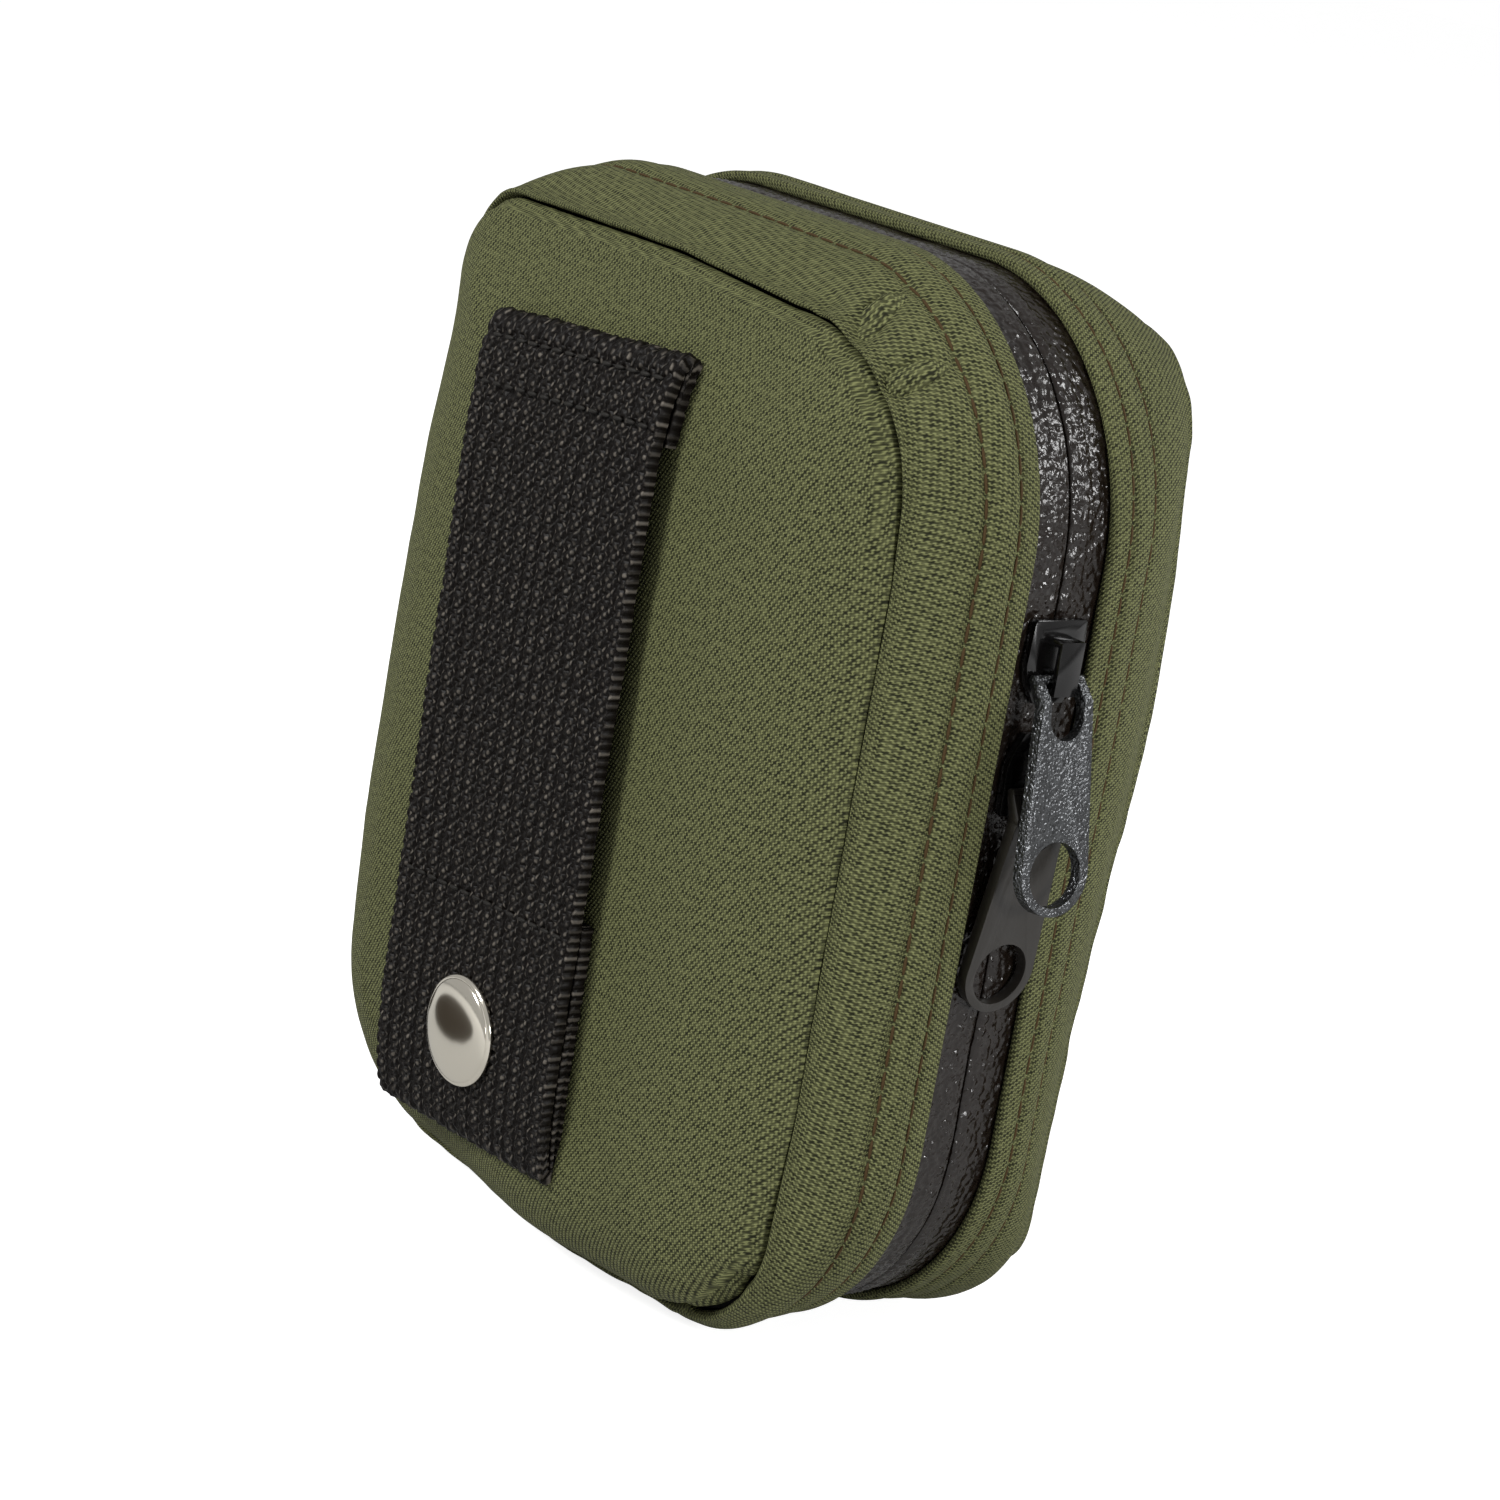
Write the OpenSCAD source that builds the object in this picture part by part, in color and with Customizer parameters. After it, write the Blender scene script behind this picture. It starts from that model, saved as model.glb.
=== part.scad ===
// First aid pouch: a soft zip-round case that opens like a book, with a belt loop on its back.
// X runs across the case from the zip side to the spine, Y from the front to the back, Z up.

/* [Case] */
// Width of the case at the zip
case_w = 112; // [108:1:118]
// Height of the case at the zip
case_h = 141; // [138:1:146]
// Corner radius on the zip side
zip_corner_r = 33; // [30:1:34]
// Corner radius at the foot of the spine
spine_corner_r = 20; // [18:1:22]
// Corner radius at the top of the spine
spine_top_r = 26; // [24:1:28]
// Thickness of the panel and gusset fabric with its coating
fabric_t = 1.2; // [0.8:0.1:1.4]
// Thickness of the folded gusset edge along the zip
hem_t = 1.5; // [1.2:0.1:1.5]
// Distance from the zip's middle to a folded gusset edge
hem_gap = 6; // [5.5:0.5:6.5]

/* [Back half] */
// Width of the back panel at its seam
back_w = 94; // [92:1:96]
// Distance from the zip's middle to the back panel's seam
back_seam_y = 20.2; // [19.8:0.2:21]
// How far the stuffed back panel bulges past its seam
back_crown = 10.3; // [9.5:0.1:11]

/* [Front half] */
// Width of the front panel at its seam
front_w = 90; // [88:1:92]
// Distance from the zip's middle to the front panel's seam
front_seam_y = 25.8; // [25:0.2:26.4]
// How far the stuffed front panel bulges past its seam
front_crown = 6; // [5:0.1:7]

/* [Belt loop] */
// Width of the webbing
webbing_w = 40; // [38:1:40]
// Thickness of the webbing
webbing_t = 1.6; // [1.4:0.1:1.7]
// Height of the stitched line that the loop swings from
loop_hinge_z = 111.5; // [108:0.5:112]
// Height of the press stud
snap_z = 28.3; // [26:0.1:30]
// Diameter of the press stud's cap
snap_cap_d = 15; // [14:0.5:15.5]

/* [Zip] */
// Height of the upper slider's middle
upper_slider_z = 96.9; // [96.5:0.1:98.5]
// Height of the lower slider's middle
lower_slider_z = 82.6; // [81:0.1:83]
// Length of a pull below its pivot
pull_l = 28.8; // [26:0.1:30]
// Lean of the upper pull, which lies on the lower slider's bridge
upper_pull_lean = 9; // [9:0.5:12]
// Lean of the lower pull, whose end rests against the tape
lower_pull_lean = -6; // [-6:0.5:0]

/* [Hidden] */
$fn = 96;

olive = [0.33, 0.37, 0.22];
black = [0.12, 0.11, 0.11];
brown_black = [0.2, 0.17, 0.16];
lining_grey = [0.42, 0.44, 0.42];
nickel = [0.78, 0.77, 0.74];
steel = [0.68, 0.7, 0.72];
gauze = [0.94, 0.93, 0.89];
paper_white = [0.92, 0.94, 0.95];
foil_gold = [0.85, 0.7, 0.3];
leaf_green = [0.1, 0.45, 0.3];

// Move that brings the middle of the whole footprint to the origin
footprint_shift = [3.85, -1.85, 0];

// An outline is [left, right, bottom, top, radii of the corners top right, top left, bottom left, bottom right,
// and how far the stuffing bows its top, left, bottom and right edges outwards]
zip_line = [
    -case_w / 2, case_w / 2, 0, case_h,
    spine_top_r, zip_corner_r, zip_corner_r, spine_corner_r,
    0, 0, 0, 0
];
back_seam = [
    -back_w / 2, back_w / 2 + 1.5, 4.2, 133.6,
    9, 20, 20, 13,
    0.2, 2, 4, 5
];
front_seam = [
    -front_w / 2 - 0.5, front_w / 2 + 1, 5, 136.5,
    15, 14, 12, 13,
    0.4, 0.8, 1, 2
];

// The hems are flat along the zip, and the gussets draw in from them to the seams
back_hem_y = 10.7;
front_hem_y = 9.3;
gusset_steps = 7;
corner_steps = 8;
edge_steps = 8;
side_power = 1.5;
base_power = 3.5;
back_crown_power = 5.5;
front_crown_power = 4;
crown_insets = [0, 1.2, 3, 5.5, 9, 13, 18, 25, 34, 43];
lining_t = 0.6;
lining_gap = 0.1;

// The zip lies under the hems: tape, then the coil on the inside
tape_t = 0.8;
coil_t = 1.5;
tape_in = hem_t;
coil_in = tape_in + tape_t;
coil_w = 2.3;
half_slit = 0.6;
tape_reach_y = 9;
zip_end_x = 38;
spine_gap_y = 0.2;

// The loop's webbing is doubled at both ends
loop_x = 5.5;
loop_bottom_z = 13.6;
loop_top_z = 121.5;
loop_skew = 4.3;
strap_clear = 0.3;
hem_fold_top_z = 50;
fold_rise = webbing_t + 0.1;
hinge_split = 0.3;
snap_hole_r = 6;
stud_r = 2.1;
socket_bore_r = 2.6;

// Slider plates either side of the tape and coil
slider_l = 10.4;
slider_w = 8.8;
slider_tail_w = 8.4;
slider_nose_w = 4.8;
slider_clear = 0.4;
plate_t = 1;
tape_x = -case_w / 2 + tape_in;
outer_plate_x = tape_x - slider_clear - plate_t;
inner_plate_x = -case_w / 2 + coil_in + coil_t + slider_clear;
bridge_rise = 2.8;
bridge_t = 0.8;
bridge_w = 3.6;
pivot_x = outer_plate_x - (bridge_rise - bridge_t) / 2;
pivot_drop = 1.9;
pull_t = 1.6;
pull_crank = 0.8;
pull_bar_r = 0.6;
pull_arm_w = 1.3;
pull_ring_r = 5.4;
pull_hole_r = 4.1;
pull_top_r = 4.1;
pull_slot_w = 5.4;
pull_slot_end = 7.2;
pull_start = 2.4;

// Scissors lie flat in front of the organiser panel
scissors_pivot = [8, 70];
scissors_y = 7.5;
blade_t = 1.7;
blade_gap = 0.3;
finger_ring_r = 10.5;
finger_hole_r = 7.5;
rivet_r = 2;
rivet_clear = 0.05;

// ---------- Outlines and skins ----------

function inset(o, d) = [
    o[0] + d, o[1] - d, o[2] + d, o[3] - d,
    max(o[4] - d, 0.5), max(o[5] - d, 0.5), max(o[6] - d, 0.5), max(o[7] - d, 0.5),
    o[8], o[9], o[10], o[11]
];

// Blend of two outlines, with a share of its own for the bottom edge
function mix(a, b, share, base_share) = [
    for (i = [0:11]) a[i] + (b[i] - a[i]) * (i == 2 || i == 10 ? base_share : share)
];

// Corner centres with their radii, anticlockwise from the top right
function corners(o) = [
    [o[1] - o[4], o[3] - o[4], o[4]],
    [o[0] + o[5], o[3] - o[5], o[5]],
    [o[0] + o[6], o[2] + o[6], o[6]],
    [o[1] - o[7], o[2] + o[7], o[7]]
];

function arc(c, from, to, steps) = [
    for (k = [0:steps]) let (a = from + (to - from) * k / steps) [c[0] + c[2] * cos(a), c[1] + c[2] * sin(a)]
];

// Where corner i's arc starts (turn 0) or ends (turn 1)
function arc_end(o, i, turn) = let (c = corners(o)[i], a = 90 * (i + turn)) [c[0] + c[2] * cos(a), c[1] + c[2] * sin(a)];

// The edge after corner i, bowed outwards in its middle
function bowed_edge(o, i) = let (from = arc_end(o, i, 1), to = arc_end(o, (i + 1) % 4, 0), a = 90 * (i + 1)) [
    for (k = [1:edge_steps - 1])
        let (t = k / edge_steps, out = o[8 + i] * pow(sin(180 * t), 2))
            from + (to - from) * t + out * [cos(a), sin(a)]
];

// The whole outline as points in X and Z
function path(o) = [
    for (i = [0:3]) each concat(arc(corners(o)[i], 90 * i, 90 * i + 90, corner_steps), bowed_edge(o, i))
];

// The outline as points standing at depth y
function ring(o, y) = [for (p = path(o)) [p[0], y, p[1]]];

// The outline as a flat shape with true arcs
module outline_2d(o) {
    polygon([for (i = [0:3]) each arc(corners(o)[i], 90 * i, 90 * i + 90, 1)]);
    for (c = corners(o)) translate([c[0], c[1]]) circle(r = c[2]);
}

module outline_band_2d(o, from, to) {
    difference() {
        outline_2d(inset(o, from));
        outline_2d(inset(o, to));
    }
}

// Extrudes a shape drawn in X and Z from one depth to another
module along_y(y0, y1) {
    translate([0, y1, 0]) rotate([90, 0, 0]) linear_extrude(y1 - y0) children();
}

// Extrudes a shape drawn in Y and Z from one side to another
module along_x(x0, x1) {
    translate([x0, 0, 0]) rotate([90, 0, 90]) linear_extrude(x1 - x0) children();
}

// Closed surface through a list of rings; a loop joins the last ring to the first
module skin(rings, loop = false) {
    n = len(rings[0]);
    m = len(rings);
    sides = [
        for (j = [0:m - (loop ? 1 : 2)]) for (i = [0:n - 1])
            let (a = j * n + i, b = j * n + (i + 1) % n, k = ((j + 1) % m) * n)
                each [[a, b, k + (i + 1) % n], [a, k + (i + 1) % n, k + i]]
    ];
    caps = loop ? [] : [[for (i = [n - 1:-1:0]) i], [for (i = [0:n - 1]) (m - 1) * n + i]];
    polyhedron([for (r = rings) each r], concat(sides, caps), convexity = 8);
}

module place() {
    translate(footprint_shift) children();
}

// ---------- Shell of one half, drawn on the back side of the zip ----------

// Outline of the gusset a share t of the way from its hem to the seam
function gusset_outline(seam, t) = mix(zip_line, seam, pow(t, side_power), pow(t, base_power));

module gusset(seam, hem_y, seam_y) {
    depth = seam_y - fabric_t - hem_y;
    outer = [
        for (k = [0:gusset_steps]) let (t = k / gusset_steps) ring(gusset_outline(seam, t), hem_y + depth * t)
    ];
    inner = [
        for (k = [gusset_steps:-1:0]) let (t = k / gusset_steps)
            ring(inset(gusset_outline(seam, t), fabric_t), hem_y + depth * t)
    ];
    skin(concat(outer, inner), loop = true);
}

// Height of a stuffed panel above its seam, d inside the seam
function crown_at(d, crown, half_w, power) = crown * (1 - pow(1 - min(d, half_w) / half_w, power));

// A crowned sheet that fills a seam, with its inner face t below its outer face
module crowned_sheet(seam, seam_y, crown, power, t) {
    half_w = (seam[1] - seam[0]) / 2;
    function level(d) = seam_y + crown_at(d, crown, half_w, power);
    inner = [for (i = [len(crown_insets) - 1:-1:0]) let (d = crown_insets[i]) ring(inset(seam, d), level(d) - t)];
    outer = [for (d = crown_insets) ring(inset(seam, d), level(d))];
    skin(concat(inner, outer));
}

module hem(y) {
    along_y(hem_gap, y) outline_band_2d(zip_line, 0, hem_t);
}

module seam_binding(seam, seam_y) {
    along_y(seam_y - 4.5, seam_y - 2) difference() {
        polygon(path(inset(seam, 1.5)));
        polygon(path(inset(seam, 2.5)));
    }
}

// Side of the outline that the zip runs along, or the spine's side
module zip_side_2d() {
    intersection() {
        children();
        translate([-case_w, -1]) square([case_w + zip_end_x, case_h + 2]);
    }
}

module spine_side_2d() {
    intersection() {
        children();
        translate([zip_end_x + spine_gap_y, -1]) square([case_w, case_h + 2]);
    }
}

module zip_tape() {
    along_y(half_slit, tape_reach_y) zip_side_2d() outline_band_2d(zip_line, tape_in, coil_in);
}

module zip_coil() {
    along_y(half_slit, half_slit + coil_w) zip_side_2d() outline_band_2d(zip_line, coil_in, coil_in + coil_t);
}

module spine_leaf() {
    along_y(spine_gap_y, tape_reach_y) spine_side_2d() outline_band_2d(zip_line, tape_in, coil_in);
}

// ---------- Back half ----------

module back_panel() {
    color(olive) place() crowned_sheet(back_seam, back_seam_y, back_crown, back_crown_power, fabric_t);
}

module back_gusset() {
    color(olive) place() gusset(back_seam, back_hem_y, back_seam_y);
}

module back_gusset_hem() {
    color(olive) place() hem(back_hem_y);
}

module back_seam_binding() {
    color(black) place() seam_binding(back_seam, back_seam_y);
}

module back_lining() {
    color(lining_grey) place() crowned_sheet(
        inset(back_seam, 1.4), back_seam_y - fabric_t - lining_gap, back_crown, back_crown_power, lining_t
    );
}

module back_zip_tape() {
    color(brown_black) place() zip_tape();
}

module back_zip_coil() {
    color(black) place() zip_coil();
}

module back_spine_leaf() {
    color(olive) place() spine_leaf();
}

// ---------- Front half ----------

module front_half() {
    place() mirror([0, 1, 0]) children();
}

module front_panel() {
    color(olive) front_half() crowned_sheet(front_seam, front_seam_y, front_crown, front_crown_power, fabric_t);
}

module front_gusset() {
    color(olive) front_half() gusset(front_seam, front_hem_y, front_seam_y);
}

module front_gusset_hem() {
    color(olive) front_half() hem(front_hem_y);
}

module front_seam_binding() {
    color(black) front_half() seam_binding(front_seam, front_seam_y);
}

module front_lining() {
    color(lining_grey) front_half() crowned_sheet(
        inset(front_seam, 1.4), front_seam_y - fabric_t - lining_gap, front_crown, front_crown_power, lining_t
    );
}

module front_zip_tape() {
    color(brown_black) front_half() zip_tape();
}

module front_zip_coil() {
    color(black) front_half() zip_coil();
}

module front_spine_leaf() {
    color(olive) front_half() spine_leaf();
}

// Plain white cross sewn to the front panel
module cross_patch() {
    arm_l = 36;
    arm_w = 12;
    patch_t = 0.8;
    top_y = front_seam_y + front_crown;
    color("white") front_half() translate([0, 0, 70.5]) along_y(top_y + 0.05, top_y + 0.05 + patch_t) {
        square([arm_l, arm_w], center = true);
        square([arm_w, arm_l], center = true);
    }
}

// ---------- Belt loop ----------

// Back panel's surface behind the loop
function panel_y(z) = back_seam_y + crown_at(
    min(z - back_seam[2] + back_seam[10], back_seam[3] + back_seam[8] - z),
    back_crown, (back_seam[1] - back_seam[0]) / 2, back_crown_power
);

function ease(t) = let (u = min(max(t, 0), 1)) u * u * (3 - 2 * u);

// How far the doubled ends lift the loop's outer layer
function fold_lift(z) = fold_rise * max(ease((hem_fold_top_z + 7 - z) / 6), ease((z - 94) / 12));

function loop_inner_y(z) = panel_y(z) + strap_clear + fold_lift(z);
function loop_outer_y(z) = loop_inner_y(z) + webbing_t;

// Strip of webbing that follows two functions of height, given as lists
module webbing_strip(inner, outer) {
    along_x(loop_x - webbing_w / 2, loop_x + webbing_w / 2)
        polygon(concat(inner, [for (i = [len(outer) - 1:-1:0]) outer[i]]));
}

// Cuts the loop's ends slightly askew, as they are sewn
module skew_cut(z, up) {
    difference() {
        children();
        translate([loop_x, 0, z]) rotate([0, loop_skew, 0]) translate([-60, 0, up ? 0 : -20]) cube([120, 60, 20]);
    }
}

module snap_hole() {
    difference() {
        children();
        translate([loop_x, 0, snap_z]) rotate([-90, 0, 0]) cylinder(r = snap_hole_r, h = 60);
    }
}

module belt_strap() {
    heights = [for (z = [9:3.4:loop_hinge_z - hinge_split - 1]) z];
    levels = concat(heights, [loop_hinge_z - hinge_split]);
    color(black) place() snap_hole() skew_cut(loop_bottom_z, false)
        webbing_strip([for (z = levels) [loop_inner_y(z), z]], [for (z = levels) [loop_outer_y(z), z]]);
}

// End of the webbing turned back behind the loop
module strap_hem() {
    levels = [for (z = [9:4.1:hem_fold_top_z]) z];
    color(black) place() snap_hole() skew_cut(loop_bottom_z, false)
        webbing_strip(
            [for (z = levels) [panel_y(z) + strap_clear, z]],
            [for (z = levels) [panel_y(z) + strap_clear + webbing_t, z]]
        );
}

// Doubled end of the webbing, sewn flat to the back panel
module strap_anchor() {
    levels = [for (z = [loop_hinge_z + hinge_split:2.6:loop_top_z + 4]) z];
    color(black) place() skew_cut(loop_top_z, true)
        webbing_strip([for (z = levels) [panel_y(z) + 0.1, z]], [for (z = levels) [panel_y(z) + 3.5, z]]);
}

// Points the children's Z axis along +Y at the press stud
module at_snap(y) {
    place() translate([loop_x, y, snap_z]) rotate([-90, 0, 0]) children();
}

snap_face_y = loop_outer_y(snap_z);

module snap_cap() {
    rim_h = 0.7;
    dome_h = 1.5;
    r = snap_cap_d / 2;
    dome_r = (r * r + dome_h * dome_h) / (2 * dome_h);
    color(nickel) at_snap(snap_face_y + 0.25) {
        cylinder(r = r, h = rim_h);
        translate([0, 0, rim_h + dome_h - dome_r]) intersection() {
            sphere(r = dome_r);
            translate([0, 0, dome_r - dome_h]) cylinder(r = r, h = dome_h + 1);
        }
    }
}

// Socket ring held in the webbing, which the stud springs into
module snap_socket() {
    depth = 2 * webbing_t + 0.1;
    color(nickel) at_snap(snap_face_y - depth) difference() {
        cylinder(r = snap_hole_r - 0.1, h = depth);
        translate([0, 0, -1]) cylinder(r = socket_bore_r, h = depth);
    }
}

module snap_stud() {
    foot = panel_y(snap_z) - fabric_t;
    color(nickel) at_snap(foot) {
        cylinder(r = stud_r, h = fabric_t + 2.2);
        translate([0, 0, fabric_t + 1.2]) cylinder(r = stud_r + 0.15, h = 0.7);
    }
}

module snap_rivet_head() {
    face = panel_y(snap_z) - fabric_t - lining_gap - lining_t - 0.7;
    color(nickel) at_snap(face - 0.8) cylinder(r = 4.5, h = 0.8);
}

// ---------- Zip sliders and pulls ----------

function shield(l, w, tail_w, nose_w) = [
    [-nose_w / 2, -l / 2], [nose_w / 2, -l / 2], [w / 2 - 0.5, -l / 4], [w / 2, -l / 20],
    [tail_w / 2, l / 2 - 0.3], [tail_w / 2 - 0.3, l / 2], [-tail_w / 2 + 0.3, l / 2], [-tail_w / 2, l / 2 - 0.3],
    [-w / 2, -l / 20], [-w / 2 + 0.5, -l / 4]
];

// Slider seen from outside, its nose towards the other slider
module slider(z, nose_down) {
    way = nose_down ? 1 : -1;
    flange_y = 3.3;
    place() translate([0, 0, z]) {
        along_x(outer_plate_x, outer_plate_x + plate_t)
            scale([1, way]) polygon(shield(slider_l, slider_w, slider_tail_w, slider_nose_w));
        along_x(inner_plate_x, inner_plate_x + plate_t)
            scale([1, way]) polygon(shield(slider_l, slider_w, slider_tail_w, slider_nose_w));
        // Post between the two tapes
        along_x(outer_plate_x, inner_plate_x + plate_t) translate([-0.4, way > 0 ? -4.6 : 2]) square([0.8, 2.6]);
        // Flange that guides the back coil
        along_x(inner_plate_x - 1.6, inner_plate_x + plate_t) translate([flange_y, -3.6]) square([0.8, 7.2]);
        // Bridge that carries the pull
        along_y(-bridge_w / 2, bridge_w / 2) difference() {
            translate([outer_plate_x - bridge_rise, -3.6]) square([bridge_rise + 0.1, 6.8]);
            translate([outer_plate_x - bridge_rise + bridge_t, -2.8]) square([bridge_rise, 5.2]);
        }
    }
}

// A pull hanging from its bar, which lies on the Y axis; its flat face is cranked outwards
module pull() {
    face_in = -pull_crank;
    face_out = -pull_crank - pull_t;
    ring_z = -pull_l + pull_ring_r;
    slot_r = pull_slot_w / 2;
    rotate([90, 0, 0]) cylinder(r = pull_bar_r, h = pull_slot_w + 2 * pull_arm_w, center = true);
    for (side = [-1, 1]) translate([0, side * (slot_r + pull_arm_w / 2), 0])
        along_y(-pull_arm_w / 2, pull_arm_w / 2) polygon([
            [pull_bar_r, 0], [0, pull_bar_r], [-pull_bar_r, 0], [face_out, -pull_start],
            [face_out, -pull_start - 0.8], [face_in, -pull_start - 0.8], [pull_bar_r - 0.3, -1]
        ]);
    along_x(face_out, face_in) difference() {
        union() {
            intersection() {
                translate([0, -pull_top_r - 0.2]) circle(r = pull_top_r);
                translate([-10, -20 - pull_start]) square([20, 20]);
            }
            polygon([
                [-pull_top_r, -pull_top_r], [pull_top_r, -pull_top_r],
                [pull_ring_r, ring_z], [-pull_ring_r, ring_z]
            ]);
            translate([0, ring_z]) circle(r = pull_ring_r);
        }
        translate([-slot_r, slot_r - pull_slot_end]) square([pull_slot_w, pull_slot_end]);
        translate([0, slot_r - pull_slot_end]) circle(r = slot_r);
        translate([0, ring_z - 0.2]) circle(r = pull_hole_r);
    }
}

module hang_pull(slider_z, lean) {
    place() translate([pivot_x, 0, slider_z - pivot_drop]) rotate([0, lean, 0]) pull();
}

module upper_slider() {
    color(black) slider(upper_slider_z, true);
}

module lower_slider() {
    color(black) slider(lower_slider_z, false);
}

module upper_pull() {
    color(black) hang_pull(upper_slider_z, upper_pull_lean);
}

module lower_pull() {
    color(black) hang_pull(lower_slider_z, lower_pull_lean);
}

// ---------- Contents of the back half ----------

roll_r = 12;
roll_x = -31;
roll_y = 10;
page_y = 12.4;
page_t = 1;

module roll(z0, z1) {
    place() translate([roll_x, roll_y, z0]) cylinder(r = roll_r, h = z1 - z0);
}

module gauze_roll_wide() {
    color(gauze) roll(18, 84);
}

module gauze_roll_narrow() {
    color(gauze) roll(88, 120);
}

// Elastic that passes round the front of each roll
module roll_elastics() {
    t = 0.8;
    color(black) place() for (z = [44, 100]) translate([roll_x, roll_y, z]) linear_extrude(12) {
        difference() {
            circle(r = roll_r + 0.1 + t);
            circle(r = roll_r + 0.1);
            translate([-20, 0]) square([40, 20]);
        }
    }
}

module organiser_panel() {
    color(lining_grey) place() translate([-17, page_y, 14]) cube([61, page_t, 110]);
}

// Two elastic loops sewn to the organiser panel, for the scissors and the tweezers
module organiser_elastics() {
    t = 0.8;
    front_y = 6.2;
    color(black) place() for (s = [[-15, 19, 90], [35, 46, 84]]) translate([s[0], 0, s[2]])
        linear_extrude(12) difference() {
            translate([0, front_y]) square([s[1] - s[0], page_y - front_y]);
            translate([t, front_y + t]) square([s[1] - s[0] - 2 * t, page_y]);
        }
}

module dressing_packet() {
    color(paper_white) place() translate([-14, 14, 22]) cube([50, 8.2, 92]);
}

// Spring steel strip bent at the top, with two fine tips below
module tweezers() {
    spread = 1.6;
    color(steel) place() translate([40.5, 9.6, 56]) along_x(-3, 3) difference() {
        polygon([[-0.9, 0], [0.9, 0], [spread + 0.5, 18], [1.7, 72], [0, 74], [-1.7, 72], [-spread - 0.5, 18]]);
        polygon([[-0.1, -1], [0.1, -1], [spread - 0.3, 18], [0.9, 70], [-0.9, 70], [-spread + 0.3, 18]]);
    }
}

// One side of the scissors, its pivot on the origin, ring below and blade above
module scissors_side_2d(bore_r) {
    ring_at = [-11, -41];
    difference() {
        union() {
            polygon([[-3.4, -4], [3.2, -6], [4, 6], [3.4, 30], [0.4, 48], [-0.8, 48], [-1.4, 8]]);
            polygon([[3.2, -2], [-3.4, -2], [-8, -30.5], [-3.6, -33.5]]);
            circle(r = 4);
            translate(ring_at) circle(r = finger_ring_r);
        }
        circle(r = bore_r);
        translate(ring_at) circle(r = finger_hole_r);
    }
}

module at_scissors(y) {
    place() translate([scissors_pivot[0], y, scissors_pivot[1]]) children();
}

module scissors_fixed_blade() {
    color(steel) at_scissors(scissors_y) along_y(0, blade_t) scissors_side_2d(rivet_r);
}

module scissors_moving_blade() {
    color(steel) at_scissors(scissors_y + blade_t + blade_gap) along_y(0, blade_t)
        mirror([1, 0]) scissors_side_2d(rivet_r + rivet_clear);
}

module scissors_rivet() {
    length = 2 * blade_t + blade_gap;
    color(nickel) at_scissors(scissors_y) rotate([-90, 0, 0]) {
        cylinder(r = rivet_r, h = length + 0.3);
        translate([0, 0, length + 0.3]) cylinder(r = 3, h = 0.5);
        translate([0, 0, -0.6]) cylinder(r = 3, h = 0.6);
    }
}

// ---------- Contents of the front half ----------

module packet(x0, x1, y0, y1, z0, z1) {
    place() translate([x0, y0, z0]) cube([x1 - x0, y1 - y0, z1 - z0]);
}

// Net pocket across the lower part of the front half
module mesh_pocket() {
    color(black) front_half() along_y(8.6, 9.2) intersection() {
        outline_2d(inset(zip_line, 5));
        translate([-case_w / 2, 0]) square([case_w, 100]);
    }
}

module mesh_pocket_binding() {
    color(black) front_half() along_y(8.4, 9.4) intersection() {
        outline_2d(inset(zip_line, 5));
        translate([-case_w / 2, 100.1]) square([case_w, 7]);
    }
}

module rescue_blanket() {
    color(foil_gold) packet(-38, 2, -22, -12, 14, 84);
}

module triangular_bandage() {
    color(paper_white) packet(5, 41, -22, -12, 14, 84);
}

module compress_packets() {
    color(leaf_green) {
        packet(-40, -2, -19, -13, 88, 125);
        packet(2, 40, -19, -13, 88, 125);
    }
}

module plaster_strips() {
    color(paper_white) for (x = [-36, -16]) packet(x, x + 18, -11.7, -9.7, 20, 92);
}

module wipe_sachets() {
    color(leaf_green) packet(8, 40, -11.7, -9.7, 18, 62);
}

back_panel();
back_gusset();
back_gusset_hem();
back_seam_binding();
back_lining();
back_zip_tape();
back_zip_coil();
back_spine_leaf();
strap_anchor();
snap_stud();
snap_rivet_head();
organiser_panel();
organiser_elastics();
roll_elastics();
gauze_roll_wide();
gauze_roll_narrow();
dressing_packet();
tweezers();
scissors_fixed_blade();
scissors_rivet();
scissors_moving_blade();
front_panel();
front_gusset();
front_gusset_hem();
front_seam_binding();
front_lining();
front_zip_tape();
front_zip_coil();
front_spine_leaf();
cross_patch();
mesh_pocket();
mesh_pocket_binding();
compress_packets();
rescue_blanket();
triangular_bandage();
plaster_strips();
wipe_sachets();
belt_strap();
strap_hem();
snap_socket();
snap_cap();
upper_slider();
upper_pull();
lower_slider();
lower_pull();
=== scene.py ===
# %% [markdown]
# # First aid pouch
# A soft case that zips all round, stuffed with dressings, with a press-stud belt loop on its back.
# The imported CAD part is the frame. Everything soft is built here as real cloth shapes over it, in millimetres
# of the drawing's own axes, and put into the row frame by one shift that is read from the frame itself.

# %% the frame
import math

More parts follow.
